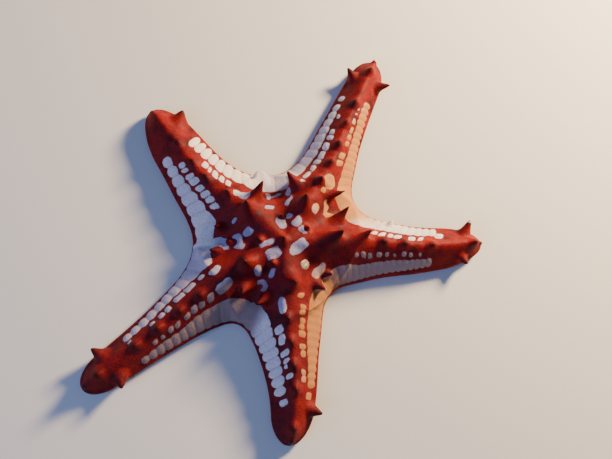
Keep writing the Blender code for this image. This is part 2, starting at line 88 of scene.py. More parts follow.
# Across the underside from the middle of the groove: its roof, its wall, its lip and the flat
UNDER_MM = (0.0, 1.3, 2.6, 3.4, 3.9, 4.3, 4.9, 5.9, 7.0)
UNDER_HEIGHTS = (4.5, 4.7, 4.4, 3.7, 2.4, 1.3, 0.75, 0.7, 0.75)
# The most of a narrow arm's underside that the groove and its lips take up
UNDER_SHARE = 0.8
# Round the mouth: where the jaws end, and the radius and the roofs of the recess
JAW_RADIUS = 9.5
THROAT_RADIUS = 6.5
THROAT_ROOF = 3.2
MOUTH_ROOF = 4.6
# Suckers and spines are pressed flat this high over the floor
FLOOR_CLEAR = 0.02
# Where the sieve plate lies on the disc
SIEVE_HEADING = -46.6
SIEVE_RUN = 16.0


class Lane(Enum):
    """The two sides of an arm, looking outward along it."""

    LEFT = 1
    RIGHT = -1


def polar_point(radius: float, heading: float) -> Vector:
    """The plan point at a radius and a heading in degrees."""
    turn = math.radians(heading)
    return Vector((math.cos(turn), math.sin(turn))) * radius


def smooth_curve(at: float, knots: tuple, values: tuple) -> float:
    """A smooth curve through a few values, flat beyond its ends.

    Args:
        at: where on the curve.
        knots: places of the values, rising.
        values: the curve's value at each knot.

    Returns:
        The curve's value.
    """
    last = len(knots) - 1
    k = min(max(bisect_right(knots, at) - 1, 0), last - 1)
    step = knots[k + 1] - knots[k]
    t = min(max((at - knots[k]) / step, 0.0), 1.0)
    slopes = []
    for here in (k, k + 1):
        before, after = max(here - 1, 0), min(here + 1, last)
        slopes.append((values[after] - values[before]) / (knots[after] - knots[before]))
    rise = (2 * t ** 3 - 3 * t ** 2 + 1) * values[k] + (3 * t ** 2 - 2 * t ** 3) * values[k + 1]
    return rise + step * ((t ** 3 - 2 * t ** 2 + t) * slopes[0] + (t ** 3 - t ** 2) * slopes[1])


def ease(low: float, high: float, value: float | np.ndarray) -> np.ndarray:
    """0 below low, 1 above high, smooth between."""
    t = np.clip((value - low) / (high - low), 0.0, 1.0)
    return t * t * (3 - 2 * t)


def smooth_min(a: np.ndarray, b: np.ndarray, blend: float) -> np.ndarray:
    """The lower of two fields, with a rounded corner where they cross."""
    near = np.maximum(blend - np.abs(a - b), 0.0) / blend
    return np.minimum(a, b) - near ** 2 * blend / 4


def crest_fall(share: np.ndarray) -> np.ndarray:
    """How far an arm's side has fallen from its rounded crest, 0 there and 1 at the margin."""
    return (1 + CREST_ROUND) * share ** 2 / (CREST_ROUND + share)


def vary(place: float) -> float:
    """A steady factor near 1 that differs from place to place."""
    low, more, beat = VARY
    return low + more * (place * beat % 1.0)


def scatter(count: np.ndarray, seed: float) -> np.ndarray:
    """A value from 0 to 1 for each whole number, that looks random but is always the same."""
    return np.abs(np.sin(count * 12.9898 + seed * 78.233) * 43758.5453) % 1.0


def turn_towards(heading: float, other: float) -> float:
    """The other heading in degrees, within half a turn of the first."""
    return heading + (other - heading + 180.0) % 360.0 - 180.0


@dataclass(frozen=True)
class Arm:
    """One arm: where it points, how long and wide it is, how it bends, and what stands on it.

    Its end is the length of its rounded end, its bends are offsets of the crest to the left at the given
    runs and at the tip, its knobs are runs, and each end spine has a side, a run, a length and the radius
    of its root.
    """

    name: str
    heading: float
    length: float
    half_width: float
    taper: float
    end: float
    bends: tuple[float, float, float, float]
    end_knob: float
    knobs: tuple[float, ...]
    end_spines: tuple[tuple[int, float, float, float], ...]

    def out(self) -> Vector:
        """Unit vector outward along the arm, in plan."""
        return polar_point(1.0, self.heading)

    def left(self) -> Vector:
        """Unit vector to the arm's left, in plan."""
        return polar_point(1.0, self.heading + 90.0)

    def bend(self, run: float) -> float:
        """How far the ridge lies to the left of the straight line from the mouth."""
        return smooth_curve(run, BEND_RUNS + (self.length,), (0.0,) + self.bends)

    def width(self, run: float) -> float:
        """Half the arm's width, without the fillets between arms.

        Args:
            run: where along the arm.

        Returns:
            Half the width, less than 0 beyond the end.
        """
        if run < WIDTH_RUN:
            wide = self.half_width * (1 + self.taper * (WIDTH_RUN - run) / WIDTH_RUN)
        else:
            wide = self.half_width * (WIDTH_RUN / run) ** self.taper
        past = max((run - (self.length - self.end)) / self.end, 0.0)
        return wide * math.sqrt(max(1 - past ** 2, 0.0)) - max(past - 1, 0.0) * self.end

    def point(self, run: float, aside: float) -> Vector:
        """The plan point at a run and a distance to the left of the straight line."""
        return self.out() * run + self.left() * aside

    def ridge(self, run: float) -> Vector:
        """The plan point of the crest at a run."""
        return self.point(run, self.bend(run))

    def field(self, spot: Vector) -> float:
        """Sideways distance outside the arm's edge, less than 0 inside."""
        run = spot.dot(self.out())
        return abs(spot.dot(self.left()) - self.bend(run)) - self.width(run)

    def ridge_height(self, run: float) -> float:
        """Height of the crest over the floor."""
        return smooth_curve(run / self.length, RIDGE_SHARES, RIDGE_HEIGHTS)

    def end_squash(self, run: float) -> float:
        """1 along the arm, falling to 0 at its rounded end."""
        past = min(max((run - (self.length - END_ROUND)) / END_ROUND, 0.0), 1.0)
        return math.sqrt(1 - past ** 2)


@dataclass(frozen=True)
class Interradius:
    """The line between two arms, and how softly their edges run together there."""

    heading: float
    blend: float

    def point(self, radius: float) -> Vector:
        """The plan point on the line at a radius from the mouth."""
        return polar_point(radius, self.heading)


# Clockwise from the arm at the upper right, seen from above
ARMS = (
    Arm("arm_a", 64.9, 133.3, 17.6, 0.58, 17.4, (-1.3, -3.1, -1.2, 0.3), 2.0,
        (54.0, 67.0, 82.0, 97.0, 122.0), ((1, 116.0, 6.8, 3.2), (-1, 117.5, 8.2, 3.0))),
    Arm("arm_b", 3.4, 118.2, 18.7, 0.68, 25.0, (1.2, 0.1, -1.4, 1.1), 0.9,
        (55.0, 67.5, 84.0, 111.0), ((1, 107.0, 9.4, 3.4), (-1, 104.0, 5.4, 3.2), (1, 62.0, 3.8, 2.2))),
    Arm("arm_c", -85.8, 105.3, 18.7, 0.82, 16.4, (-2.0, 0.4, 1.3, -1.8), 0.7,
        (53.0, 65.0, 77.0, 97.0), ((1, 87.5, 7.4, 3.6),)),
    Arm("arm_d", -143.3, 127.8, 17.9, 0.74, 14.3, (-1.2, -2.3, -1.0, 0.9), 0.7,
        (53.0, 66.0, 80.0, 94.0, 117.0), ((-1, 110.0, 7.4, 3.8), (1, 108.5, 7.2, 3.8))),
    Arm("arm_e", 135.6, 110.0, 20.5, 0.61, 25.8, (1.4, 4.7, 1.5, -3.1), 0.3,
        (56.0, 67.5, 82.0), ((-1, 93.5, 6.6, 4.6),)),
)
INTERRADII = (
    Interradius(33.6, 22.5),
    Interradius(-37.8, 9.8),
    Interradius(-119.0, 11.3),
    Interradius(179.4, 30.0),
    Interradius(99.2, 22.6),
)
# Number of the line beside which the sieve plate lies
SIEVE_LINE = 1

# Wanders of the markings, as the size of a swing and its amount in millimetres: of the blocks, of the
# band's inner edge, of the plates' places and edges, and of the cobbles' places and edges
BLOCK_WANDER = (9.0, 0.25)
INNER_WANDER = (5.0, 0.25)
PLATE_WARP = (4.5, 0.45)
PLATE_WANDER = (3.6, 0.3)
COBBLE_WARP = (5.0, 0.2)
COBBLE_WANDER = (4.2, 0.2)
# How square the outline of a plate of the disc is: 2 is an ellipse
PLATE_SQUARE = 2.6
# Distances along the margin, from the notch between two arms, at which a band's inner edge is given
BAND_KNOTS = (0.0, 4.0, 8.0, 12.0, 20.0, 30.0, 40.0, 50.0, 60.0)
# The stretch of the margin over which the row of cobbles draws nearer to the band
ROW_STRETCH = (12.0, 36.0)


@dataclass(frozen=True)
class Band:
    """The pale markings of one flank, in millimetres along its margin and inward from it.

    Pairs are values at the notch and at the band's end, for the rim of red skin, the depth of the cusps
    between blocks, and the gap and the width of the row of cobbles. Each cobble has a start and a stop,
    and a last lump that stands alone has them along and inward.
    """

    end: float
    inner: tuple[float, ...]
    rim: tuple[float, float]
    cusp: tuple[float, float]
    block: float
    join: float
    slant: float
    row_gap: tuple[float, float]
    row_width: tuple[float, float]
    cobbles: tuple[tuple[float, float], ...]
    last: tuple[float, float, float, float] | None = None


# The left and the right flank of each arm
BANDS = {
    "arm_a": (
        Band(62.8, (13.2, 13.0, 11.0, 8.4, 6.6, 6.6, 6.1, 5.4, 4.9), (0.6, 1.6), (0.2, 0.9), 5.6, 0.55, 0.1,
             (2.2, 0.7), (3.3, 3.2), ((11.6, 15.8), (16.3, 19.9), (20.4, 23.4), (23.7, 28.8), (29.2, 34.4),
                                      (36.0, 39.8), (40.1, 44.0), (51.6, 55.6)), (64.9, 69.0, 1.7, 4.8)),
        Band(63.0, (12.6, 13.4, 10.5, 9.1, 8.2, 7.2, 6.8, 7.3, 7.1), (0.6, 2.6), (0.1, 1.3), 4.1, 0.6, 0.4,
             (1.2, 0.9), (4.2, 2.7), ((16.2, 20.4), (20.8, 25.2), (29.8, 33.6), (33.9, 37.6), (38.2, 42.8),
                                      (44.2, 48.4), (49.8, 52.0), (53.4, 56.2))),
    ),
    "arm_b": (
        Band(48.6, (12.6, 14.2, 12.6, 9.6, 8.9, 8.4, 7.4, 7.0, 7.0), (0.4, 1.4), (0.2, 1.0), 4.1, 0.5, 0.5,
             (1.4, 0.8), (4.2, 3.2), ((12.6, 15.2), (15.9, 19.0), (20.2, 23.4), (23.7, 28.0), (31.6, 35.6),
                                      (36.6, 39.8)), (48.0, 52.8, 5.2, 8.8)),
        Band(59.0, (10.0, 10.4, 10.0, 9.3, 8.3, 7.8, 7.5, 6.7, 6.4), (1.4, 2.4), (0.2, 0.9), 3.6, 0.6, 0.0,
             (3.0, 1.1), (3.2, 2.7), ((13.6, 16.4), (17.4, 20.6), (21.3, 24.2), (26.2, 29.4), (30.6, 33.2),
                                      (35.0, 37.4), (40.0, 43.0), (44.2, 47.0), (50.2, 52.4))),
    ),
    "arm_c": (
        Band(55.4, (10.0, 9.8, 10.0, 10.1, 9.8, 8.8, 7.2, 6.5, 6.3), (0.6, 1.8), (0.2, 1.0), 4.2, 0.55, -0.1,
             (1.7, 0.7), (4.2, 3.8), ((13.2, 15.9), (16.2, 18.8), (19.6, 22.8), (23.2, 26.0), (26.3, 30.2),
                                      (33.0, 36.0), (36.3, 39.6), (45.6, 48.8), (49.1, 52.8)),
             (57.4, 61.2, 3.4, 6.8)),
        Band(44.2, (12.6, 13.4, 11.8, 10.8, 10.0, 8.9, 8.3, 8.0, 8.0), (1.0, 2.6), (0.5, 1.9), 4.7, 0.3, 0.15,
             (0.9, 0.8), (4.6, 3.6), ((12.0, 15.8), (16.1, 21.0), (23.4, 26.8), (27.1, 29.6), (30.0, 32.2),
                                      (34.5, 37.2)), (46.0, 49.2, 4.4, 8.4)),
    ),
    "arm_d": (
        Band(54.0, (12.6, 11.6, 10.4, 9.6, 8.2, 6.4, 5.8, 4.8, 4.6), (1.2, 1.7), (0.2, 0.8), 4.6, 0.6, 0.1,
             (1.8, 0.9), (3.8, 2.8), ((8.6, 12.0), (13.0, 16.6), (16.9, 20.8), (21.1, 25.0), (27.2, 31.0),
                                      (31.3, 35.0), (37.2, 40.0), (41.6, 45.0))),
        Band(63.6, (11.0, 10.6, 13.0, 9.9, 7.4, 6.1, 6.0, 6.3, 6.1), (0.5, 2.6), (0.1, 1.2), 5.6, 0.55, 0.0,
             (0.9, 0.8), (3.0, 3.0), ((13.6, 17.0), (18.6, 24.8), (25.1, 32.0), (34.5, 38.8), (39.1, 43.0),
                                      (45.2, 48.8), (60.0, 63.0))),
    ),
    "arm_e": (
        Band(51.8, (11.0, 11.4, 14.0, 11.8, 10.6, 9.2, 7.9, 7.5, 7.4), (2.0, 2.7), (0.6, 1.3), 6.1, 0.3, 0.15,
             (1.3, 0.8), (4.6, 4.2), ((12.0, 15.0), (15.6, 18.8), (19.1, 22.6), (23.0, 27.0), (28.0, 32.6),
                                      (32.9, 36.0), (37.5, 40.2), (40.7, 44.0))),
        Band(48.4, (13.2, 13.2, 13.4, 12.2, 10.7, 9.8, 10.8, 11.8, 11.8), (0.5, 2.2), (0.2, 3.2), 4.8, 0.05,
             0.25, (1.7, 0.7), (4.2, 4.4), ((17.0, 19.6), (20.0, 22.6), (23.2, 26.2), (27.0, 29.0),
                                            (29.4, 32.6))),
    ),
}


def bisect(inside: Vector, outside: Vector, level: float, value: Callable[[Vector], float]) -> Vector:
    """The point between two where a field reaches a level.

    Args:
        inside: a point where the field is below the level.
        outside: one where it is above it.
        level: the value looked for.
        value: the field.

    Returns:
        The point.
    """
    for _ in range(HALVINGS):
        middle = (inside + outside) / 2
        if value(middle) < level:
            inside = middle
        else:
            outside = middle
    return (inside + outside) / 2


class Flank:
    """One side of one arm, out to its margin or to the line that it shares with the next arm."""

    def __init__(self, index: int, lane: Lane) -> None:
        """Finds the neighbour and the line between the two arms.

        Args:
            index: of the arm.
            lane: which side of it.
        """
        side = lane.value
        other = (index - side) % len(ARMS)
        self.arm = ARMS[index]
        self.side = side
        self.neighbour = ARMS[other]
        self.line = INTERRADII[other if side > 0 else index]
        self.line_turn = abs(turn_towards(self.arm.heading, self.line.heading) - self.arm.heading)
        self.band = BANDS[self.arm.name][0 if side > 0 else 1]

    def field(self, spot: Vector) -> float:
        """Sideways distance outside the body, with the fillet between the two arms.

        Args:
            spot: a plan point.

        Returns:
            The distance, less than 0 inside.
        """
        a, b = self.arm.field(spot), self.neighbour.field(spot)
        near = max(self.line.blend - abs(a - b), 0) / self.line.blend
        return min(a, b) - near ** 2 * self.line.blend / 4

    @lru_cache(maxsize=None)
    def notch(self, inset: float) -> float:
        """Radius at which the line between the arms reaches the margin, less an inset."""
        return bisect(self.line.point(CURVED_RUN), self.line.point(WIDEST), -inset, self.field).length

    @lru_cache(maxsize=None)
    def limit(self, run: float, inset: float) -> Vector:
        """The outermost plan point of the side at a run: on the shared line, then on the margin.

        Args:
            run: where along the arm.
            inset: how far inside the margin.

        Returns:
            The plan point.
        """
        notch = self.notch(inset)
        if run <= WEB_RUN:
            past = max(run - CURVED_RUN, 0.0) / (WEB_RUN - CURVED_RUN)
            return self.line.point(min(run, CURVED_RUN) + (notch - CURVED_RUN) * past)
        first = notch * math.cos(math.radians(self.line_turn))
        along = run
        if run < JOIN_RUN:
            along = first + (JOIN_RUN - first) * (run - WEB_RUN) / (JOIN_RUN - WEB_RUN)
        inset = min(inset, NARROW_SHARE * self.arm.width(along))
        reach = min(along * math.tan(math.radians(self.line_turn)), WIDEST) * self.side
        return bisect(self.arm.ridge(along), self.arm.point(along, reach), -inset, self.field)

    def limits(self, runs: np.ndarray, inset: float) -> np.ndarray:
        """The limit at each of several runs, as rows of x and y."""
        return np.array([tuple(self.limit(float(run), inset)) for run in runs])

    def ridges(self, runs: np.ndarray) -> np.ndarray:
        """The crest's plan point at each of several runs, as rows of x and y."""
        return np.array([tuple(self.arm.ridge(float(run))) for run in runs])

    def across(self, runs: np.ndarray, shares: np.ndarray, inset: float) -> np.ndarray:
        """Plan points some shares of the way from the crest to the limit.

        Args:
            runs: one run for each row.
            shares: shares for each row, from 0 at the crest to 1 at the limit.
            inset: how far inside the body's edge the limit lies.

        Returns:
            A grid of x and y.
        """
        start, stop = self.ridges(runs), self.limits(runs, inset)
        first = np.arctan2(start[:, 1], start[:, 0])
        last = np.arctan2(stop[:, 1], stop[:, 0])
        swing = (last - first + math.pi) % (2 * math.pi) - math.pi
        radius = (np.hypot(*start.T)[:, None] * (1 - shares) + np.hypot(*stop.T)[:, None] * shares)
        heading = first[:, None] + swing[:, None] * shares
        curved = np.stack((np.cos(heading), np.sin(heading)), -1) * radius[..., None]
        straight = start[:, None] * (1 - shares[..., None]) + stop[:, None] * shares[..., None]
        how = ease(CURVED_RUN, JOIN_RUN, runs)[:, None, None]
        return curved * (1 - how) + straight * how

    def valley(self, run: float) -> float:
        """Height at the limit of the upper side: the valley between arms, then the margin's top.

        Args:
            run: where along the arm.

        Returns:
            The height.
        """
        if run >= WEB_RUN:
            return MARGIN_TOP
        fall = min(self.limit(run, TOP_INSET).length / self.notch(TOP_INSET), 1.0)
        whole = DISC_HEIGHT - MARGIN_TOP
        level = math.hypot(whole * (1 - fall ** VALLEY_FALL), VALLEY_SOFT) - VALLEY_SOFT
        return MARGIN_TOP + whole * level / (math.hypot(whole, VALLEY_SOFT) - VALLEY_SOFT)

    def top(self, runs: np.ndarray, shares: np.ndarray) -> np.ndarray:
        """Points of the upper side, a row for each run and a column for each share.

        Args:
            runs: one for each row.
            shares: one for each column, 0 at the crest and 1 at the limit.

        Returns:
            A grid of x, y and z.
        """
        grid = np.broadcast_to(shares, (len(runs), len(shares)))
        plan = self.across(runs, grid, TOP_INSET)
        crest = np.array([self.arm.ridge_height(float(run)) for run in runs])[:, None]
        low = np.array([self.valley(float(run)) for run in runs])[:, None]
        web = (1 + np.cos(math.pi * grid)) / 2
        how = ease(CURVED_RUN, JOIN_RUN, runs)[:, None]
        height = low + (crest - low) * (web * (1 - how) + (1 - crest_fall(grid)) * how)
        return self.placed(runs, plan, height)

    def under_shrink(self, runs: np.ndarray) -> tuple[np.ndarray, np.ndarray]:
        """How far the underside reaches from the groove's middle, and how much the groove narrows.

        Args:
            runs: where along the arm.

        Returns:
            The two values for each run.
        """
        reach = np.linalg.norm(self.limits(runs, FOOT_INSET) - self.ridges(runs), axis=1)
        reach = np.maximum(reach, 1e-6)
        return reach, np.minimum(1.0, UNDER_SHARE * reach / UNDER_MM[-1])

    def underneath(self, runs: np.ndarray, aside: float) -> np.ndarray:
        """Points of the underside at a distance in millimetres from the middle of the groove.

        Args:
            runs: where along the arm.
            aside: the distance.

        Returns:
            Rows of x, y and z.
        """
        reach, shrink = self.under_shrink(runs)
        share = (aside * shrink / reach)[:, None]
        height = np.full(share.shape, np.interp(aside, UNDER_MM, UNDER_HEIGHTS))
        return self.placed(runs, self.across(runs, share, FOOT_INSET), height)[:, 0]

    def placed(self, runs: np.ndarray, plan: np.ndarray, height: np.ndarray) -> np.ndarray:
        """Points with their heights, drawn in to the middle of the margin at the arm's end.

        Args:
            runs: one for each row.
            plan: a grid of x and y.
            height: one for each point.

        Returns:
            A grid of x, y and z.
        """
        squash = np.array([self.arm.end_squash(float(run)) for run in runs])[:, None]
        height = MARGIN_MIDDLE + (height - MARGIN_MIDDLE) * squash
        return np.concatenate((plan, height[..., None]), -1)

    def surface(self, run: float, share: float) -> np.ndarray:
        """One point of the upper side."""
        return self.top(np.array((run,)), np.array((share,)))[0, 0]


FLANKS = tuple((Flank(index, Lane.LEFT), Flank(index, Lane.RIGHT)) for index in range(len(ARMS)))


@dataclass(frozen=True)
class Spine:
    """One spine or knob of the skin: its root, its direction, its length and its root's radius.

    Its foot and its reach are shares of that radius. A greater waist makes it slimmer, and a greater
    blunt makes its tip rounder.
    """

    root: np.ndarray
    way: np.ndarray
    length: float
    radius: float
    foot: float = 1.5
    waist: float = 2.77
    blunt: float = 0.17
    reach: float = 2.4
    pale_from: float | None = None

    def lift(self, points: np.ndarray) -> np.ndarray:
        """How much of the spine's length each point is raised, from 0 beside it to 1 at its tip.

        Args:
            points: rows of x, y and z.

        Returns:
            A share for each point.
        """
        away = points - self.root
        axial = away @ self.way
        aside = np.linalg.norm(away - axial[:, None] * self.way, axis=1) / self.radius
        aside = np.sqrt(aside ** 2 + self.blunt ** 2)
        rise = np.clip((self.foot - aside) / (self.foot - self.blunt), 0.0, 1.0) ** self.waist
        return np.where(np.linalg.norm(away, axis=1) < self.radius * self.reach, rise, 0.0)


@dataclass(frozen=True)
class Plate:
    """One pale plate of the disc: its middle, size and turn in plan, and how deep a knob bites into it."""

    x: float
    y: float
    length: float
    width: float
    turn: float
    bite: float = 0.0

    def inside(self, plan: np.ndarray) -> np.ndarray:
        """Distance in from the plate's edge, less than 0 outside it.

        Args:
            plan: rows of x and y.

        Returns:
            The distances.
        """
        turn = math.radians(self.turn)
        away = plan - (self.x, self.y)
        u = away @ (math.cos(turn), math.sin(turn))
        v = away @ (-math.sin(turn), math.cos(turn))
        a, b = self.length / 2, self.width / 2
        reach = (np.abs(u / a) ** PLATE_SQUARE + np.abs(v / b) ** PLATE_SQUARE + 1e-9) ** (1 / PLATE_SQUARE)
        depth = (1 - reach) * b
        if self.bite:
            hole = np.hypot(u, v - math.copysign(b, self.bite)) - abs(self.bite)
            depth = np.minimum(depth, hole)
        return depth


# The pale plates between the knobs of the disc, from its middle outward
PLATES = (
    Plate(-2.4, 10.2, 6.8, 5.2, 115.0), Plate(6.1, 10.9, 6.2, 3.9, 58.0), Plate(9.2, 6.8, 5.0, 3.9, 138.0),
    Plate(6.8, -3.1, 11.1, 5.9, 39.0), Plate(-6.3, -7.1, 8.4, 5.6, 26.0), Plate(-9.4, -1.4, 8.2, 2.5, 26.0),
    Plate(-19.9, 5.1, 5.1, 4.4, 44.0), Plate(-25.2, 0.3, 9.0, 5.6, 99.0, 2.6),
    Plate(-22.4, -2.5, 3.5, 1.8, 54.0), Plate(-27.3, 11.3, 3.0, 2.0, 71.0),
    Plate(-11.2, -22.9, 6.0, 4.6, 123.0, 1.9), Plate(-6.8, -17.2, 5.0, 3.0, 78.0),
    Plate(-14.2, -16.1, 5.5, 4.0, 102.0), Plate(-31.8, -24.7, 10.1, 5.3, 41.0),
    Plate(19.3, -13.4, 10.0, 4.8, 48.0), Plate(8.9, -28.2, 4.6, 3.4, 2.0), Plate(16.4, 19.5, 6.0, 3.6, 62.0),
    Plate(24.8, 17.7, 5.7, 3.4, 171.0), Plate(23.0, 21.6, 7.0, 2.9, 85.0), Plate(-8.5, 19.7, 5.6, 3.1, 3.0),
    Plate(-8.9, 27.1, 4.1, 2.9, 91.0), Plate(-26.8, 26.5, 4.8, 4.0, 155.0),
    Plate(-22.5, 24.9, 5.8, 4.6, 160.0), Plate(-4.6, 28.1, 7.2, 2.0, 22.0), Plate(2.3, 24.4, 6.8, 2.3, 61.0),
    Plate(2.3, 30.4, 5.6, 2.6, 60.0), Plate(2.0, 14.4, 3.6, 2.3, 54.0), Plate(8.8, 34.7, 4.2, 1.7, 37.0),
    Plate(21.3, 30.8, 3.0, 2.3, 79.0), Plate(24.8, 36.7, 8.9, 6.9, 71.0), Plate(34.5, -12.0, 4.7, 3.4, 16.0),
    Plate(-36.6, -16.1, 6.8, 4.0, 54.0), Plate(-1.1, -34.6, 8.5, 4.0, 98.0),
    Plate(-36.0, -0.6, 14.0, 8.0, 4.0),
)

# Spans of heading where the pale skin takes on painted light and shade, for painted sunlight, painted
# brownish shade and painted bluish shade: first, last, how softly each side fades, strength
PAINTED_SUNLIGHT_SPANS = ((27.0, 60.0, 14.0, 6.0, 0.95), (-79.0, -34.0, 8.0, 14.0, 1.0))
PAINTED_SHADE_SPANS = ((-33.0, -2.0, 9.0, 4.0, 0.8), (-142.0, -112.0, 4.0, 10.0, 0.85), (-80.0, -40.0, 4.0, 8.0, 0.3))
PAINTED_BLUE_SHADE_SPANS = ((74.0, 106.0, 6.0, 5.0, 0.45), (-178.0, -146.0, 2.0, 3.0, 0.55))
# The same for the arms whose red skin is painted darker, as painted shade
PAINTED_RED_SHADE_SPANS = ((-156.0, -74.0, 8.0, 8.0, 0.35),)
# The radii over which these fade in
TINT_DISC = (18.0, 30.0)
# How strongly the disc's plates take on painted bluish shade, and the radii over which that fades in, outside
# first
PAINTED_BLUE_SHADE = 0.9
PAINTED_BLUE_SHADE_DISC = (41.0, 33.0)
# Arm and run of the spines with pale tips, and the share of their height from which they are pale
PALE_TIPPED = (("arm_b", 107.0, 0.8), ("arm_b", 62.0, 0.4), ("arm_a", 131.3, 0.6))

# Heading and radius of the root, offset of the tip, radius of the root: the centre, the big
# first knob of each arm, the spines on each side of the lines between arms, the second knobs,
# and a low knob near the edge
DISC_SPINES = (
    (195.0, 2.0, (0.4, 1.2, 4.4), 4.2),
    (66.0, 23.0, (0.6, 3.0, 8.4), 6.2),
    (3.8, 24.5, (5.8, 3.6, 7.2), 6.0),
    (-81.0, 22.0, (1.0, -2.0, 8.0), 6.0),
    (-148.0, 23.5, (-2.6, -1.0, 8.2), 6.2),
    (143.0, 26.0, (-1.6, 3.2, 8.4), 6.2),
    (49.3, 38.0, (8.6, 1.5, 5.0), 3.4),
    (26.4, 32.0, (6.6, 7.4, 7.0), 4.8),
    (-33.1, 27.0, (3.4, -0.6, 4.0), 3.2),
    (-48.5, 27.0, (4.4, -4.0, 5.0), 3.8),
    (-105.6, 31.0, (-6.8, -4.4, 4.4), 4.4),
    (-130.0, 31.0, (-2.6, -5.0, 4.0), 3.6),
    (-173.4, 34.0, (-6.2, -0.6, 4.0), 3.6),
    (167.0, 34.0, (-5.0, 1.0, 4.2), 3.6),
    (124.7, 29.5, (3.8, 8.0, 8.0), 5.2),
    (78.7, 35.0, (-6.7, 4.8, 8.0), 5.0),
    (61.9, 40.5, (0.5, 1.0, 4.6), 4.0),
    (4.5, 41.0, (6.0, 4.4, 5.0), 4.4),
    (-87.2, 40.5, (0.2, -1.0, 3.6), 3.8),
    (139.7, 40.5, (-0.9, 0.8, 4.0), 4.0),
    (179.0, 29.5, (-0.8, 0.3, 2.4), 2.6),
)
# The low spines round the middle of the disc: radius, height, radius of the root
INNER_RING = (13.5, 3.2, 3.4)
# The knobs on the crests, and the spines near the arms' ends: how slim and how blunt
KNOB_SHAPE = (2.0, 0.6)
END_SPINE_SHAPE = (1.9, 0.4)
KNOB_HEIGHT = 2.3
KNOB_RADIUS = 3.8
KNOB_LEAN = 0.25
END_SPINE_SHARE = 0.86
END_SPINE_WAY = (0.4, 0.85, 0.5)
# A rounded lobe near the edge, as a spine of the disc, and how slim and how blunt it is
NOTCH_LOBE = (107.5, 40.0, (-1.2, 3.9, 0.7), 4.2)
LOBE_SHAPE = (1.1, 0.9)
# The knob at an arm's very end: its distance from the end, the radius of its root, and its lean
TERMINAL_KNOB = (2.0, 2.4, 1.2)
# The search for the skin's point over a place of the disc: how far in runs, its step, and the shares tried
SEARCH_MM = 3
SEARCH_STEP = 0.5
SEARCH_SHARES = 21


def linear(hex_colour: str) -> tuple[float, float, float, float]:
    """Turns an sRGB hex colour to linear red, green, blue and alpha.

    Args:
        hex_colour: six digits after a # sign.

    Returns:
        The four values.
    """
    parts = [int(hex_colour[k:k + 2], 16) / 255 for k in (1, 3, 5)]
    curve = [c / 12.92 if c <= 0.04045 else ((c + 0.055) / 1.055) ** 2.4 for c in parts]
    return (*curve, 1.0)


def new_finish(name: str) -> tuple[bpy.types.Material, bpy.types.Node]:
    """Makes an empty finish.

    Args:
        name: the finish's name.

    Returns:
        The material and its shader.
    """
    material = bpy.data.materials.new(name)
    material.use_nodes = True
    return material, material.node_tree.nodes["Principled BSDF"]


def put(material: bpy.types.Material, kind: str, links: dict | None = None,
        **settings: object) -> bpy.types.Node:
    """Adds a node with its settings, and links or sets its inputs.

    Args:
        material: whose node tree takes the node.
        kind: the node's type name.
        links: input name or number, to an output socket or a plain value.
        settings: properties of the node itself.

    Returns:
        The new node.
    """
    tree = material.node_tree
    node = tree.nodes.new(kind)
    for name, value in settings.items():
        setattr(node, name, value)
    for name, value in (links or {}).items():
        if isinstance(value, bpy.types.NodeSocket):
            tree.links.new(value, node.inputs[name])
        else:
            node.inputs[name].default_value = value
    return node


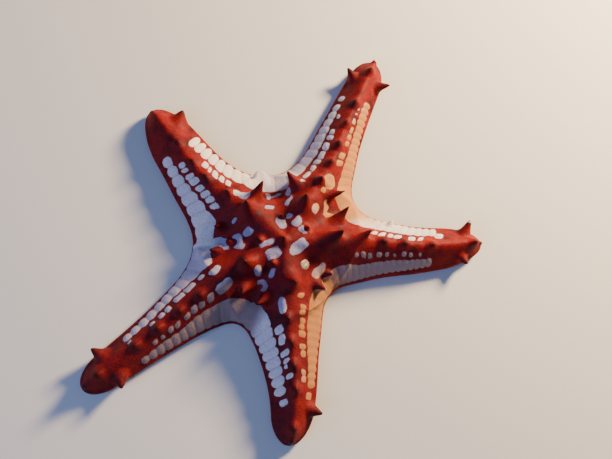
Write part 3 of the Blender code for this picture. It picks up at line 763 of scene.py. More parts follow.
@dataclass(frozen=True)
class StarSkin:
    """Live sea-star skin: thin, wet, leathery, pebbled by the chalk plates and granules under it.

    It is softly glossy, so that light breaks up on the pebbling instead of making one highlight. The reds
    are mottled, darkened over the disc and on arms c and d as painted shade, and nearly black at the knobs'
    tips. The chalk shows through the pale plates, which are cream, with painted bluish shade, painted
    sunlight and painted brownish shade in places. The hollows between granules are darkened as painted shade.
    """

    red: str = "#861718"
    # The dark red also serves as painted shade: over the disc, on arms c and d, and in the hollows between
    # the red granules
    deep_red: str = "#4a1017"
    orange: str = "#9e281c"
    tip: str = "#2c0708"
    pale: str = "#eadfd8"
    cool_pale: str = "#cdc9d4"
    # Painted sunlight: the yellowish colour drawn on the flanks where the light falls
    painted_sunlight_colour: str = "#b5752a"
    # Painted shade: the brownish colour drawn on the flanks that lie in shade
    painted_brown_shade_colour: str = "#735b5a"
    # Painted shade: the bluish colour drawn on the disc's plates and on the flanks that lie in shade
    painted_blue_shade: str = "#8f8cb0"
    # The seams' colour, also used as painted shade in the hollows between the pale granules
    seam: str = "#a87868"
    under_pale: str = "#d3bfa6"
    # Broad blotches of the reds, and the noise's values at which they are dark, red and orange
    mottle_mm: float = 9.0
    mottle_stops: tuple[float, float, float] = (0.32, 0.52, 0.76)
    # The blocks of the bands: their length, how round their corners are, and the seams between them
    block_mm: float = 4.7
    corner_mm: float = 1.7
    seam_width_mm: float = 0.6
    seam_strength: tuple[float, float] = (0.55, 0.1)
    seam_join: float = 0.7
    # The edge of the pale skin, ragged by the granules along it
    ragged_mm: float = 1.6
    ragged_depth_mm: float = 0.5
    softness_mm: float = 0.22
    # Real granules are about 0.5 mm across. They are drawn coarser, so that they show
    granule_mm: float = 0.9
    granule_relief_mm: float = 0.16
    granule_strength: float = 0.8
    # The hollows between granules, darkened as painted shade: from and to which distance they darken, and how
    # far
    red_hollow_shade: tuple[float, float, float] = (0.3, 0.75, 0.45)
    pale_hollow_shade: tuple[float, float, float] = (0.35, 0.8, 0.3)
    # The share of a knob's height from which it darkens, and how far
    tip_from: float = 0.35
    tip_depth: float = 0.8
    # The small plates of the underside, about 2.6 mm across, with bare skin between them
    tile_mm: float = 2.6
    tile_gap: float = 0.16
    tile_relief_mm: float = 0.3
    under_ragged: float = 1.2
    under_edge: tuple[float, float] = (0.35, 0.65)
    # Wet skin: a thin film, whose gloss is broken up by slime and granules
    ior: float = 1.33
    sheen: float = 0.2
    red_roughness: float = 0.58
    pale_roughness: float = 0.68
    glow: float = 0.08
    glow_radius: tuple[float, float, float] = (0.004, 0.0018, 0.0012)
    glow_scale: float = 0.4

    def make(self) -> bpy.types.Material:
        """Builds the material.

        Returns:
            The finish, which reads the skin's marking fields.
        """
        material, shader = new_finish("pebbled_star_skin")
        place = put(material, "ShaderNodeTexCoord").outputs["Object"]
        # Four of these fields carry painted light and shade: painted sunlight, painted brownish shade,
        # painted bluish shade, and painted shade on the red
        names = ("band", "row", "plate", "along", "join", "knob", "under", "warm", "painted_brown_shade", "painted_blue_shade", "deep")
        fields = {name: put(material, "ShaderNodeAttribute", attribute_name=name).outputs["Fac"]
                  for name in names}
        grain = put(material, "ShaderNodeTexVoronoi", {"Vector": place, "Scale": 1 / (self.granule_mm * MM)})
        mottle = put(material, "ShaderNodeTexNoise", {
            "Vector": place, "Scale": 1 / (self.mottle_mm * MM), "Detail": 4.0, "Roughness": 0.6})
        noise = put(material, "ShaderNodeTexNoise", {
            "Vector": place, "Scale": 1 / (self.ragged_mm * MM), "Detail": 2.0})
        ragged = put(material, "ShaderNodeMath", {0: noise.outputs["Fac"], 1: 0.5}, operation="SUBTRACT")
        beat = put(material, "ShaderNodeMath", {0: fields["along"], 1: 0.5}, operation="PINGPONG")
        seam_mm = put(material, "ShaderNodeMath", {
            0: beat.outputs[0], 1: self.block_mm, 2: fields["join"]}, operation="MULTIPLY_ADD")
        pale = self.pale_places(material, ragged, seam_mm, fields)
        upper = put(material, "ShaderNodeMix", {
            "Factor": pale.outputs["Result"], "A": self.reds(material, mottle, grain, fields),
            "B": self.pales(material, mottle, grain, seam_mm, fields)}, data_type="RGBA")
        tiles = put(material, "ShaderNodeTexVoronoi", {
            "Vector": place, "Scale": 1 / (self.tile_mm * MM)}, feature="DISTANCE_TO_EDGE")
        tile = put(material, "ShaderNodeMapRange", {"Value": tiles.outputs["Distance"],
                                                    "From Max": self.tile_gap})
        lower = put(material, "ShaderNodeMix", {
            "Factor": tile.outputs["Result"], "A": linear(self.seam), "B": linear(self.under_pale)},
            data_type="RGBA")
        under = put(material, "ShaderNodeMath", {
            0: ragged.outputs[0], 1: self.under_ragged, 2: fields["under"]}, operation="MULTIPLY_ADD")
        under = put(material, "ShaderNodeMapRange", {
            "Value": under.outputs[0], "From Min": self.under_edge[0], "From Max": self.under_edge[1]})
        put_colour(material, shader, put(material, "ShaderNodeMix", {
            "Factor": under.outputs["Result"], "A": upper.outputs["Result"], "B": lower.outputs["Result"]},
            data_type="RGBA"))
        raised = put(material, "ShaderNodeMath", {0: tile.outputs["Result"], 1: under.outputs["Result"]},
                     operation="MULTIPLY")
        self.relief(material, shader, grain, pale, raised)
        return material

    def pale_places(self, material: bpy.types.Material, ragged: bpy.types.Node, seam_mm: bpy.types.Node,
                    fields: dict[str, bpy.types.NodeSocket]) -> bpy.types.Node:
        """Where the skin is pale: in the bands' blocks, the cobbles and the disc's plates.

        Args:
            material: the finish.
            ragged: the noise that frays the edges.
            seam_mm: distance from the seams between blocks.
            fields: the skin's marking fields.

        Returns:
            A node that gives 1 in pale skin and 0 in red skin.
        """
        inside = put(material, "ShaderNodeMath", {
            0: fields["band"], 1: seam_mm.outputs[0], 2: self.corner_mm}, operation="SMOOTH_MIN")
        for name in ("row", "plate"):
            inside = put(material, "ShaderNodeMath", {0: inside.outputs[0], 1: fields[name]},
                         operation="MAXIMUM")
        inside = put(material, "ShaderNodeMath", {
            0: ragged.outputs[0], 1: self.ragged_depth_mm, 2: inside.outputs[0]}, operation="MULTIPLY_ADD")
        return put(material, "ShaderNodeMapRange", {
            "Value": inside.outputs[0], "From Min": -self.softness_mm, "From Max": self.softness_mm},
            interpolation_type="SMOOTHSTEP")

    def reds(self, material: bpy.types.Material, mottle: bpy.types.Node, grain: bpy.types.Node,
             fields: dict[str, bpy.types.NodeSocket]) -> bpy.types.NodeSocket:
        """The red of ridges and knobs: darkened over the disc and on arms c and d as painted shade, dark at
        the knobs' tips, warmer between, with painted shade in the hollows between granules.

        Args:
            material: the finish.
            mottle: the broad noise.
            grain: the granules.
            fields: the skin's marking fields.

        Returns:
            The red's socket.
        """
        base = put(material, "ShaderNodeValToRGB", {"Fac": mottle.outputs["Fac"]})
        stops = base.color_ramp.elements
        first, middle, last = self.mottle_stops
        stops[0].position = first
        stops[0].color = linear(self.deep_red)
        stops[1].position = middle
        stops[1].color = linear(self.red)
        stops.new(last).color = linear(self.orange)
        dark = put(material, "ShaderNodeMapRange", {
            "Value": fields["knob"], "From Min": self.tip_from, "From Max": 1.0, "To Max": self.tip_depth})
        # Painted shade: the red is darkened over the disc and on arms c and d
        base = put(material, "ShaderNodeMix", {
            "Factor": fields["deep"], "A": base.outputs["Color"], "B": linear(self.deep_red)},
            data_type="RGBA")
        tipped = put(material, "ShaderNodeMix", {
            "Factor": dark.outputs["Result"], "A": base.outputs["Result"], "B": linear(self.tip)},
            data_type="RGBA")
        # Painted shade in the hollows between granules
        low, high, depth = self.red_hollow_shade
        hollow_shade = put(material, "ShaderNodeMapRange", {
            "Value": grain.outputs["Distance"], "From Min": low, "From Max": high, "To Max": depth})
        return put(material, "ShaderNodeMix", {
            "Factor": hollow_shade.outputs["Result"], "A": tipped.outputs["Result"], "B": linear(self.deep_red)},
            data_type="RGBA").outputs["Result"]

    def pales(self, material: bpy.types.Material, mottle: bpy.types.Node, grain: bpy.types.Node,
              seam_mm: bpy.types.Node, fields: dict[str, bpy.types.NodeSocket]) -> bpy.types.NodeSocket:
        """The chalky plates: cream, with painted bluish shade on the disc and some flanks, painted sunlight
        and painted brownish shade on others, with pinkish seams and painted shade in the hollows between
        granules.

        Args:
            material: the finish.
            mottle: the broad noise.
            grain: the granules.
            seam_mm: distance from the seams between blocks.
            fields: the skin's marking fields.

        Returns:
            The pale colour's socket.
        """
        base = put(material, "ShaderNodeMix", {
            "Factor": mottle.outputs["Fac"], "A": linear(self.pale), "B": linear(self.cool_pale)},
            data_type="RGBA")
        # Painted bluish shade, painted sunlight and painted brownish shade over the cream
        for name, colour in (("painted_blue_shade", self.painted_blue_shade), ("warm", self.painted_sunlight_colour), ("painted_brown_shade", self.painted_brown_shade_colour)):
            base = put(material, "ShaderNodeMix", {
                "Factor": fields[name], "A": base.outputs["Result"], "B": linear(colour)}, data_type="RGBA")
        over = put(material, "ShaderNodeMath", {0: seam_mm.outputs[0], 1: fields["join"]},
                   operation="SUBTRACT")
        apart, joined = self.seam_strength
        strength = put(material, "ShaderNodeMapRange", {
            "Value": fields["join"], "From Min": 0.0, "From Max": self.seam_join, "To Min": apart,
            "To Max": joined})
        seam = put(material, "ShaderNodeMapRange", {
            "Value": over.outputs[0], "From Min": 0.0, "From Max": self.seam_width_mm,
            "To Min": strength.outputs["Result"], "To Max": 0.0})
        inside = put(material, "ShaderNodeMapRange", {
            "Value": fields["band"], "From Min": -0.2, "From Max": 0.2})
        seam = put(material, "ShaderNodeMath", {0: seam.outputs["Result"], 1: inside.outputs["Result"]},
                   operation="MULTIPLY")
        seamed = put(material, "ShaderNodeMix", {
            "Factor": seam.outputs[0], "A": base.outputs["Result"], "B": linear(self.seam)},
            data_type="RGBA")
        # Painted shade in the hollows between granules, in the seams' colour
        low, high, depth = self.pale_hollow_shade
        hollow_shade = put(material, "ShaderNodeMapRange", {
            "Value": grain.outputs["Distance"], "From Min": low, "From Max": high, "To Max": depth})
        return put(material, "ShaderNodeMix", {
            "Factor": hollow_shade.outputs["Result"], "A": seamed.outputs["Result"], "B": linear(self.seam)},
            data_type="RGBA").outputs["Result"]

    def relief(self, material: bpy.types.Material, shader: bpy.types.Node, grain: bpy.types.Node,
               pale: bpy.types.Node, tiles: bpy.types.Node) -> None:
        """Granules over the underside's tiles, and a wet gloss that is a little higher on the red skin.

        Args:
            material: the finish.
            shader: its shader.
            grain: the granules.
            pale: 1 in pale skin and 0 in red skin.
            tiles: height of the underside's tiles.
        """
        tree = material.node_tree
        domes = put(material, "ShaderNodeMath", {0: grain.outputs["Distance"], 1: -1.0}, operation="MULTIPLY")
        mosaic = put(material, "ShaderNodeBump", {
            "Height": tiles.outputs[0], "Distance": self.tile_relief_mm * MM, "Strength": 1.0})
        bump = put(material, "ShaderNodeBump", {
            "Height": domes.outputs[0], "Distance": self.granule_relief_mm * MM,
            "Strength": self.granule_strength, "Normal": mosaic.outputs["Normal"]})
        tree.links.new(bump.outputs["Normal"], shader.inputs["Normal"])
        rough = put(material, "ShaderNodeMapRange", {
            "Value": pale.outputs["Result"], "To Min": self.red_roughness, "To Max": self.pale_roughness})
        tree.links.new(rough.outputs["Result"], shader.inputs["Roughness"])
        shader.inputs["IOR"].default_value = self.ior
        shader.inputs["Specular IOR Level"].default_value = self.sheen
        shader.inputs["Subsurface Weight"].default_value = self.glow
        shader.inputs["Subsurface Radius"].default_value = self.glow_radius
        shader.inputs["Subsurface Scale"].default_value = self.glow_scale


def put_colour(material: bpy.types.Material, shader: bpy.types.Node, source: bpy.types.Node) -> None:
    """Links a colour mix to the shader's base colour."""
    material.node_tree.links.new(source.outputs["Result"], shader.inputs["Base Color"])


def add_piece(name: str, points: np.ndarray, faces: Iterable, material: bpy.types.Material,
              fields: dict[str, np.ndarray] | None = None) -> bpy.types.Object:
    """Makes a smooth-shaded mesh piece and lets it ride on the body.

    Args:
        name: the piece's name.
        points: rows of x, y and z in millimetres from the mouth's middle on the floor.
        faces: vertex numbers of each face.
        material: the finish.
        fields: values for each point, by name, for the finish to read.

    Returns:
        The new object.
    """
    mesh = bpy.data.meshes.new(name)
    mesh.from_pydata(((points + MOUTH) * MM).tolist(), [], faces)
    for label, values in (fields or {}).items():
        mesh.attributes.new(label, "FLOAT", "POINT").data.foreach_set("value", values.astype(np.float32))
    mesh.materials.append(material)
    mesh.shade_smooth()
    piece = bpy.data.objects.new(name, mesh)
    bpy.context.scene.collection.objects.link(piece)
    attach(piece, "root")
    return piece


@dataclass
class Skin:
    """One closed skin over the disc and all arms, with its relief, its spines and its marking fields.

    Its grid has a row every step along an arm, and columns from the crest to the margin, round the wall
    and across the underside.
    """

    step_mm: float = 0.66
    end_rows: float = 1.25
    top_columns: int = 34
    wall_columns: int = 4
    # Between the flat beside the groove and the margin's foot: shares of the way, and rise over the floor
    slope_shares: tuple[float, ...] = (0.25, 0.5, 0.75, 1.0)
    slope_rise: tuple[float, ...] = (0.9, 1.05, 1.1, 1.1)
    # How high the pale blocks stand, the distance over which they rise, and how far the joined ones do
    relief_mm: float = 0.5
    dome_span: tuple[float, float] = (-0.6, 1.4)
    dome_join: float = 0.4
    # The disc's plates: the run at which they end, and how the knobs are kept bare of them
    plates_end: float = 50.0
    bare_knob: float = 0.2
    bare_slope: float = 12.0
    # How much painted shade darkens the disc's red, and the radii over which that fades in, outside first
    painted_disc_shade: float = 0.28
    painted_disc_shade_radii: tuple[float, float] = (52.0, 24.0)
    # The bands: how rounded their corners are, the cusps between blocks, and how blocks run together
    edge_round: float = 1.2
    end_round: float = 1.6
    lump_round: float = 1.4
    cusp_sharp: float = 2.2
    inner_cusp: float = 0.7
    slant_middle: float = 5.0
    joined: float = 0.75
    joined_share: float = 0.45
    # The cobbles: where they get narrower, how their sides vary, and how rounded they are
    cobble_shrink: float = 0.15
    cobble_taper: tuple[float, float, float] = (36.0, 60.0, 0.35)
    cobble_low: tuple[float, float] = (0.2, 0.4)
    cobble_high: tuple[float, float] = (0.88, 0.24)
    cobble_round: float = 1.3
    # Far outside of any marking
    outside_mm: float = -3.0
    # Where the underside's skin sets in, from the underside's edge
    under_span: tuple[float, float] = (-0.6, 2.2)
    # The folds between arms: how wide they are smoothed, round the notch, over which radii, and how often
    fold_width: float = 13.0
    notch_back: float = 5.0
    notch_spread: float = 24.0
    fold_fade: tuple[float, float] = (1.0, 0.1)
    fold_disc: tuple[float, float] = (14.0, 26.0)
    fold_over: float = 0.5
    fold_rounds: int = 150
    finish: StarSkin = field(default_factory=StarSkin)

    def runs(self, arm: Arm) -> np.ndarray:
        """Where the skin's rows lie along an arm, closer together round its end.

        Args:
            arm: the arm.

        Returns:
            The runs, rising.
        """
        base = arm.length - arm.end
        disc = np.linspace(0, WEB_RUN, round(WEB_RUN / self.step_mm) + 1)
        along = np.linspace(WEB_RUN, base, round((base - WEB_RUN) / self.step_mm) + 1)[1:]
        count = round(arm.end * self.end_rows / self.step_mm)
        end = base + arm.end * np.sin(np.linspace(0, math.pi / 2, count + 1)[1:])
        return np.concatenate((disc, along, end))

    def flank_grid(self, flank: Flank) -> tuple[np.ndarray, dict[str, np.ndarray]]:
        """Rows of points from the crest, over the margin, to the middle of the groove.

        Args:
            flank: the side of the arm.

        Returns:
            A grid of points, and the marking fields on the same grid.
        """
        runs = self.runs(flank.arm)
        shares = np.linspace(0, 1, self.top_columns + 1)
        top = flank.top(runs, shares)
        under = self.underside(flank, runs)
        wall = self.wall(flank, runs, top[:, -1], under[:, 0])
        points = np.concatenate((top, wall, under), 1)
        # The last row is the arm's end, one point for both flanks
        points[-1] = points[-1, 0]
        fields = self.markings(flank, runs, points)
        low, high = self.under_span
        fields["under"] = ease(FOOT_INSET + low, FOOT_INSET + high, fields.pop("edge"))
        fields["under"][:, :self.top_columns + self.wall_columns + 1] = 0.0
        return points, fields

    def wall(self, flank: Flank, runs: np.ndarray, top: np.ndarray, under: np.ndarray) -> np.ndarray:
        """The rounded edge between the upper side and the underside, folded away where arms share a line.

        Args:
            flank: the side of the arm.
            runs: one for each row.
            top: the last point of the upper side in each row.
            under: the first point of the underside in each row.

        Returns:
            A grid of points.
        """
        edge = flank.limits(runs, 0.0)
        columns = []
        for k in range(1, self.wall_columns + 1):
            turn = math.pi * (k / (self.wall_columns + 1))
            out = math.sin(turn)
            down = (1 - math.cos(turn)) / 2
            inner = top[:, :2] * (1 - down) + under[:, :2] * down
            plan = inner * (1 - out) + edge * out
            height = (top[:, 2] * (1 - down) + under[:, 2] * down)
            columns.append(np.concatenate((plan, height[:, None]), 1))
        return np.stack(columns, 1)

    def underside(self, flank: Flank, runs: np.ndarray) -> np.ndarray:
        """Rows of the underside, from the foot of the margin in to the middle of the groove.

        Args:
            flank: the side of the arm.
            runs: one for each row.

        Returns:
            A grid of points.
        """
        reach, shrink = flank.under_shrink(runs)
        inner = np.array(UNDER_MM)[None] * shrink[:, None] / reach[:, None]
        slope = inner[:, -1:] + (1 - inner[:, -1:]) * np.array(self.slope_shares)
        shares = np.concatenate((inner, slope), 1)[:, ::-1]
        heights = np.concatenate((UNDER_HEIGHTS, MARGIN_FOOT * np.array(self.slope_rise)))[::-1]
        height = np.broadcast_to(heights, shares.shape).copy()
        near = runs < JAW_RADIUS
        inward = np.clip((JAW_RADIUS - runs[near]) / (JAW_RADIUS - THROAT_RADIUS), 0, 1)
        roof = THROAT_ROOF + (MOUTH_ROOF - THROAT_ROOF) * np.clip(1 - runs[near] / THROAT_RADIUS, 0, 1)
        height[near] = height[near] * (1 - inward[:, None]) + roof[:, None] * inward[:, None]
        return flank.placed(runs, flank.across(runs, shares, FOOT_INSET), height)

    def markings(self, flank: Flank, runs: np.ndarray, points: np.ndarray) -> dict[str, np.ndarray]:
        """The fields that the finish turns into bands, rows and plates.

        Args:
            flank: the side of the arm.
            runs: one run for each row.
            points: the grid of points.

        Returns:
            Distance from the margin, how much painted sunlight, painted brownish shade and painted bluish
            shade the pale skin takes and how much painted shade darkens the red, distance inside the pale
            band, inside the inner row and inside the disc's plates, the count of blocks along the margin, and
            how far the blocks are joined, on the grid.
        """
        plan = points[..., :2]
        margin = flank.limits(runs[runs >= WEB_RUN], 0.0)
        edge, along = distance_to_path(plan.reshape(-1, 2), margin)
        edge, along = edge.reshape(plan.shape[:2]), along.reshape(plan.shape[:2])
        marks = flank.band
        place = along + marks.slant * (edge - self.slant_middle) + wave(plan, BLOCK_WANDER, 4)
        share = np.clip(place / marks.end, 0.0, 1.0)
        blocks = (marks.end - place) / marks.block
        cusp = np.abs(2 * (blocks % 1.0) - 1) ** self.cusp_sharp
        notched = marks.cusp[0] + (marks.cusp[1] - marks.cusp[0]) * share
        outer = marks.rim[0] + (marks.rim[1] - marks.rim[0]) * share ** 2 + cusp * notched
        seam = np.interp(along, BAND_KNOTS, marks.inner) + wave(plan, INNER_WANDER, 2 + flank.side)
        band = smooth_min(edge - outer, seam - cusp * notched * self.inner_cusp - edge, self.edge_round)
        band = smooth_min(band, marks.end - place, self.end_round)
        if marks.last:
            first, final, low, high = marks.last
            ends = smooth_min(place - first, final - place, self.lump_round)
            sides = smooth_min(edge - low, high - edge, self.lump_round)
            band = np.maximum(smooth_min(ends, sides, self.lump_round), band)
        row = self.inner_row(flank, plan, edge - seam, along)
        plates = np.full(plan.shape[:2], self.outside_mm)
        near = runs < self.plates_end
        flat = plan[near].reshape(-1, 2)
        flat = flat + np.stack((wave(flat, PLATE_WARP, 8), wave(flat, PLATE_WARP, 9)), -1)
        best = np.max([plate.inside(flat) for plate in PLATES], axis=0) + wave(flat, PLATE_WANDER, 10)
        plates[near] = best.reshape(plates[near].shape)
        # Painted light and shade, by heading and radius: painted sunlight, painted brownish shade, painted
        # bluish shade also over the disc's plates, and painted shade on the red over the disc and on arms c
        # and d
        painted_sunlight = tint(plan, PAINTED_SUNLIGHT_SPANS)
        radius = np.linalg.norm(plan, axis=-1)
        return {
            "edge": edge,
            "warm": painted_sunlight,
            "painted_brown_shade": tint(plan, PAINTED_SHADE_SPANS),
            "painted_blue_shade": np.maximum(PAINTED_BLUE_SHADE * ease(*PAINTED_BLUE_SHADE_DISC, radius) * (1 - painted_sunlight), tint(plan, PAINTED_BLUE_SHADE_SPANS)),
            "deep": np.maximum(self.painted_disc_shade * ease(*self.painted_disc_shade_radii, radius), tint(plan, PAINTED_RED_SHADE_SPANS)),
            "band": band,
            "row": row,
            "plate": plates,
            "along": blocks,
            "join": marks.join + (self.joined - marks.join) * ease(self.joined_share, 0.0, share),
        }

    def inner_row(self, flank: Flank, plan: np.ndarray, inward: np.ndarray, along: np.ndarray) -> np.ndarray:
        """The row of cobbles inside the band.

        Args:
            flank: the side of the arm.
            plan: grid of x and y.
            inward: distance from the band's inner edge.
            along: distance along the margin.

        Returns:
            Distance inside the row's cobbles.
        """
        marks = flank.band
        later = np.clip((along - ROW_STRETCH[0]) / (ROW_STRETCH[1] - ROW_STRETCH[0]), 0.0, 1.0)
        gap = marks.row_gap[0] + (marks.row_gap[1] - marks.row_gap[0]) * later
        width = marks.row_width[0] + (marks.row_width[1] - marks.row_width[0]) * later
        first, last, fall = self.cobble_taper
        width = width * (1 - fall * ease(first, last, along))
        place = along + marks.slant * (inward - gap - width / 2) + wave(plan, COBBLE_WARP, 6 + flank.side)
        row = np.full(inward.shape, self.outside_mm)
        for number, (first, last) in enumerate(marks.cobbles):
            back, more = self.cobble_low
            low = gap - back + more * scatter(number, flank.arm.heading)
            least, more = self.cobble_high
            high = gap + width * (least + more * scatter(number, flank.arm.heading + flank.side))
            ends = smooth_min(place - first, last - place, self.edge_round)
            sides = smooth_min(inward - low, high - inward, self.edge_round)
            row = np.maximum(row, smooth_min(ends, sides, self.cobble_round))
        return row + wave(plan, COBBLE_WANDER, flank.arm.heading) - self.cobble_shrink

    def spines(self) -> list[Spine]:
        """Every knob and spine that grows from the skin.

        Returns:
            The spines.
        """
        spines = [disc_spine(*row) for row in DISC_SPINES]
        radius, height, root = INNER_RING
        for number, line in enumerate(INTERRADII):
            if number != SIEVE_LINE:
                out = polar_point(1.0, line.heading)
                offset = (out.x, out.y, height * vary(line.heading))
                spines.append(disc_spine(line.heading, radius, offset, root))
        back, end_root, lean = TERMINAL_KNOB
        for left, right in FLANKS:
            arm = left.arm
            for place in arm.knobs:
                spines.append(ridge_knob(left, place, KNOB_HEIGHT * vary(place), KNOB_RADIUS))
            for side, place, length, width in arm.end_spines:
                spines.append(end_spine(left if side > 0 else right, place, length, width))
            spines.append(ridge_knob(left, arm.length - back, arm.end_knob, end_root, lean))
        waist, blunt = LOBE_SHAPE
        return spines + [disc_spine(*NOTCH_LOBE, waist=waist, blunt=blunt)]

    def build(self) -> bpy.types.Object:
        """Makes the skin.

        Returns:
            The new object.
        """
        grids, fields = [], []
        for pair in FLANKS:
            for flank in pair:
                points, marks = self.flank_grid(flank)
                grids.append(points)
                fields.append(marks)
        flat = np.concatenate([grid.reshape(-1, 3) for grid in grids])
        marks = {name: np.concatenate([f[name].ravel() for f in fields]) for name in fields[0]}
        quads, start = [], 0
        for k, grid in enumerate(grids):
            rows, columns = grid.shape[:2]
            number = np.arange(rows * columns).reshape(rows, columns) + start
            quad = np.stack((number[:-1, :-1], number[:-1, 1:], number[1:, 1:], number[1:, :-1]), -1)
            keep = np.ones(quad.shape[:2], bool)
            shared = self.runs(FLANKS[k // 2][0].arm)[1:] <= WEB_RUN
            keep[shared, self.top_columns:self.top_columns + self.wall_columns + 1] = False
            quad = quad[keep]
            quads.append(quad if k % 2 else quad[:, ::-1])
            start += rows * columns
        used, faces = np.unique(np.concatenate(quads), return_inverse=True)
        faces = faces.reshape(-1, 4)
        _, first, spot = np.unique(np.round(flat[used], 4), axis=0, return_index=True, return_inverse=True)
        flat = flat[used[first]]
        marks = {name: values[used[first]] for name, values in marks.items()}
        faces = tidy_faces(spot.reshape(-1)[faces])
        upper = marks["under"] <= 0.0
        flat = self.ease_folds(flat, faces, upper)
        lifts = [(spine, np.where(upper, spine.lift(flat), 0.0)) for spine in self.spines()]
        marks["knob"] = np.max([lift for _, lift in lifts], axis=0)
        bare = np.maximum(marks["knob"] - self.bare_knob, 0.0) * self.bare_slope
        for name in ("plate", "row"):
            marks[name] -= bare
        for spine, lift in lifts:
            if spine.pale_from is not None:
                marks["plate"] = np.maximum(marks["plate"], (lift - spine.pale_from) * self.bare_slope)
        raised = self.raise_relief(flat, marks, faces)
        for spine, lift in lifts:
            raised += lift[:, None] * spine.way * spine.length
        return add_piece("skin", raised, faces, self.finish.make(), marks)

    def ease_folds(self, points: np.ndarray, faces: list, upper: np.ndarray) -> np.ndarray:
        """Smooths the upper side along the lines between arms, where two flanks meet in a fold.

        Args:
            points: the skin's points.
            faces: vertex numbers of each face.
            upper: which points lie on the upper side and the margin.

        Returns:
            The points, eased.
        """
        radius = np.linalg.norm(points[:, :2], axis=1)
        aside = np.ones(len(points))
        for line, (_, flank) in zip(INTERRADII, FLANKS):
            way = np.array(polar_point(1.0, line.heading))
            across = np.array(polar_point(1.0, line.heading + 90))
            along = points[:, :2] @ way
            away = np.abs(points[:, :2] @ across)
            notch = np.hypot(along - flank.notch(TOP_INSET) + self.notch_back, away) / self.notch_spread
            aside = np.minimum(aside, np.where(along > 0, np.minimum(away / self.fold_width, notch), 1.0))
        weight = ease(*self.fold_fade, aside) * ease(*self.fold_disc, radius) * upper
        weight = weight * ease(MARGIN_MIDDLE, MARGIN_TOP + self.fold_over, points[:, 2])
        busy = weight > 0
        pairs = np.array([(face[k - 1], face[k]) for face in faces for k in range(len(face))
                          if busy[face[k]] or busy[face[k - 1]]])
        used, number = np.unique(pairs, return_inverse=True)
        pairs = number.reshape(pairs.shape)
        pairs = np.concatenate((pairs, pairs[:, ::-1]))
        count = np.maximum(np.bincount(pairs[:, 0], minlength=len(used)), 1)
        height, weight = points[used, 2], weight[used]
        for _ in range(self.fold_rounds):
            mean = np.bincount(pairs[:, 0], height[pairs[:, 1]], len(used)) / count
            height += weight * (mean - height)
        eased = points.copy()
        eased[used, 2] = height
        return eased

    def raise_relief(self, points: np.ndarray, marks: dict[str, np.ndarray], faces: list) -> np.ndarray:
        """Domes the pale blocks and plates a little over the red seams.

        Args:
            points: the skin's points.
            marks: its marking fields.
            faces: vertex numbers of each face.

        Returns:
            The points, raised.
        """
        beat = np.abs((marks["along"] + 0.5) % 1.0 - 0.5)
        seam_mm = beat * self.finish.block_mm + marks["join"] * self.dome_join
        blocks = smooth_min(marks["band"], seam_mm, self.finish.corner_mm)
        inside = np.maximum(np.maximum(blocks, marks["row"]), marks["plate"])
        dome = self.relief_mm * ease(*self.dome_span, inside) * (1 - marks["under"])
        normals = point_normals(points, faces)
        return points + normals * dome[:, None]


def tidy_faces(faces: np.ndarray) -> list[tuple[int, ...]]:
    """Drops repeated corners of each face, and faces with fewer than three.

    Args:
        faces: rows of vertex numbers.

    Returns:
        The corners of each face that is left.
    """
    tidy = []
    for face in faces.tolist():
        corners = tuple(dict.fromkeys(face))
        if len(corners) > 2:
            tidy.append(corners)
    return tidy


def point_normals(points: np.ndarray, faces: list) -> np.ndarray:
    """Outward unit normals of the points of a closed mesh.

    Args:
        points: rows of x, y and z.
        faces: vertex numbers of each face.

    Returns:
        Rows of unit vectors.
    """
    mesh = bpy.data.meshes.new("normals")
    mesh.from_pydata(points.tolist(), [], faces)
    mesh.update()
    normals = np.empty(len(points) * 3, np.float32)
    mesh.vertices.foreach_get("normal", normals)
    bpy.data.meshes.remove(mesh)
    return normals.reshape(-1, 3).astype(float)


def wave(plan: np.ndarray, wander: tuple[float, float], seed: float) -> np.ndarray:
    """A smooth wander over the plan.

    Args:
        plan: x and y in the last axis.
        wander: size of a swing and its amount, in millimetres.
        seed: shifts the pattern.

    Returns:
        Values between about minus and plus the amount.
    """
    size, amount = wander
    x, y = plan[..., 0] * math.tau / size, plan[..., 1] * math.tau / size
    # Three crossing waves whose lengths share no measure, so that no repeat shows
    return (np.sin(x * 0.61 + y * 0.37 + seed * 1.7) + np.sin(y * 0.73 - x * 0.29 + seed * 2.9)
            + np.sin(x * 0.47 - y * 0.59 + seed * 4.1)) / 3 * amount


def tint(plan: np.ndarray, spans: tuple) -> np.ndarray:
    """How far the skin takes on a tint, by the headings at which the photo shows it so.

    Args:
        plan: x and y in the last axis.
        spans: rows of first and last heading, fades and strength.

    Returns:
        Values from 0 to 1.
    """
    heading = np.degrees(np.arctan2(plan[..., 1], plan[..., 0]))
    inside = [strength * ease(low - fade, low, heading) * ease(high + soft, high, heading)
              for low, high, fade, soft, strength in spans]
    return np.max(inside, axis=0) * ease(*TINT_DISC, np.linalg.norm(plan, axis=-1))


def distance_to_path(points: np.ndarray, path: np.ndarray) -> tuple[np.ndarray, np.ndarray]:
    """Distance of points from a path, and how far along it their nearest place lies.

    Args:
        points: rows of x and y.
        path: rows of x and y, close together.

    Returns:
        The distances, and the lengths along the path.
    """
    steps = np.linalg.norm(np.diff(path, axis=0), axis=1)
    lengths = np.concatenate(((0.0,), np.cumsum(steps)))
    tangents = np.gradient(path, axis=0)
    tangents /= np.maximum(np.linalg.norm(tangents, axis=1), 1e-9)[:, None]
    # In parts, so that the table of distances stays small
    nearest = np.concatenate([np.argmin(((part[:, None] - path) ** 2).sum(2), 1)
                              for part in np.array_split(points, max(len(points) // 2000, 1))])
    away = points - path[nearest]
    ahead = (away * tangents[nearest]).sum(1)
    ahead = np.clip(ahead, -1.0, 1.0)
    aside = np.linalg.norm(away - ahead[:, None] * tangents[nearest], axis=1)
    return aside, lengths[nearest] + ahead


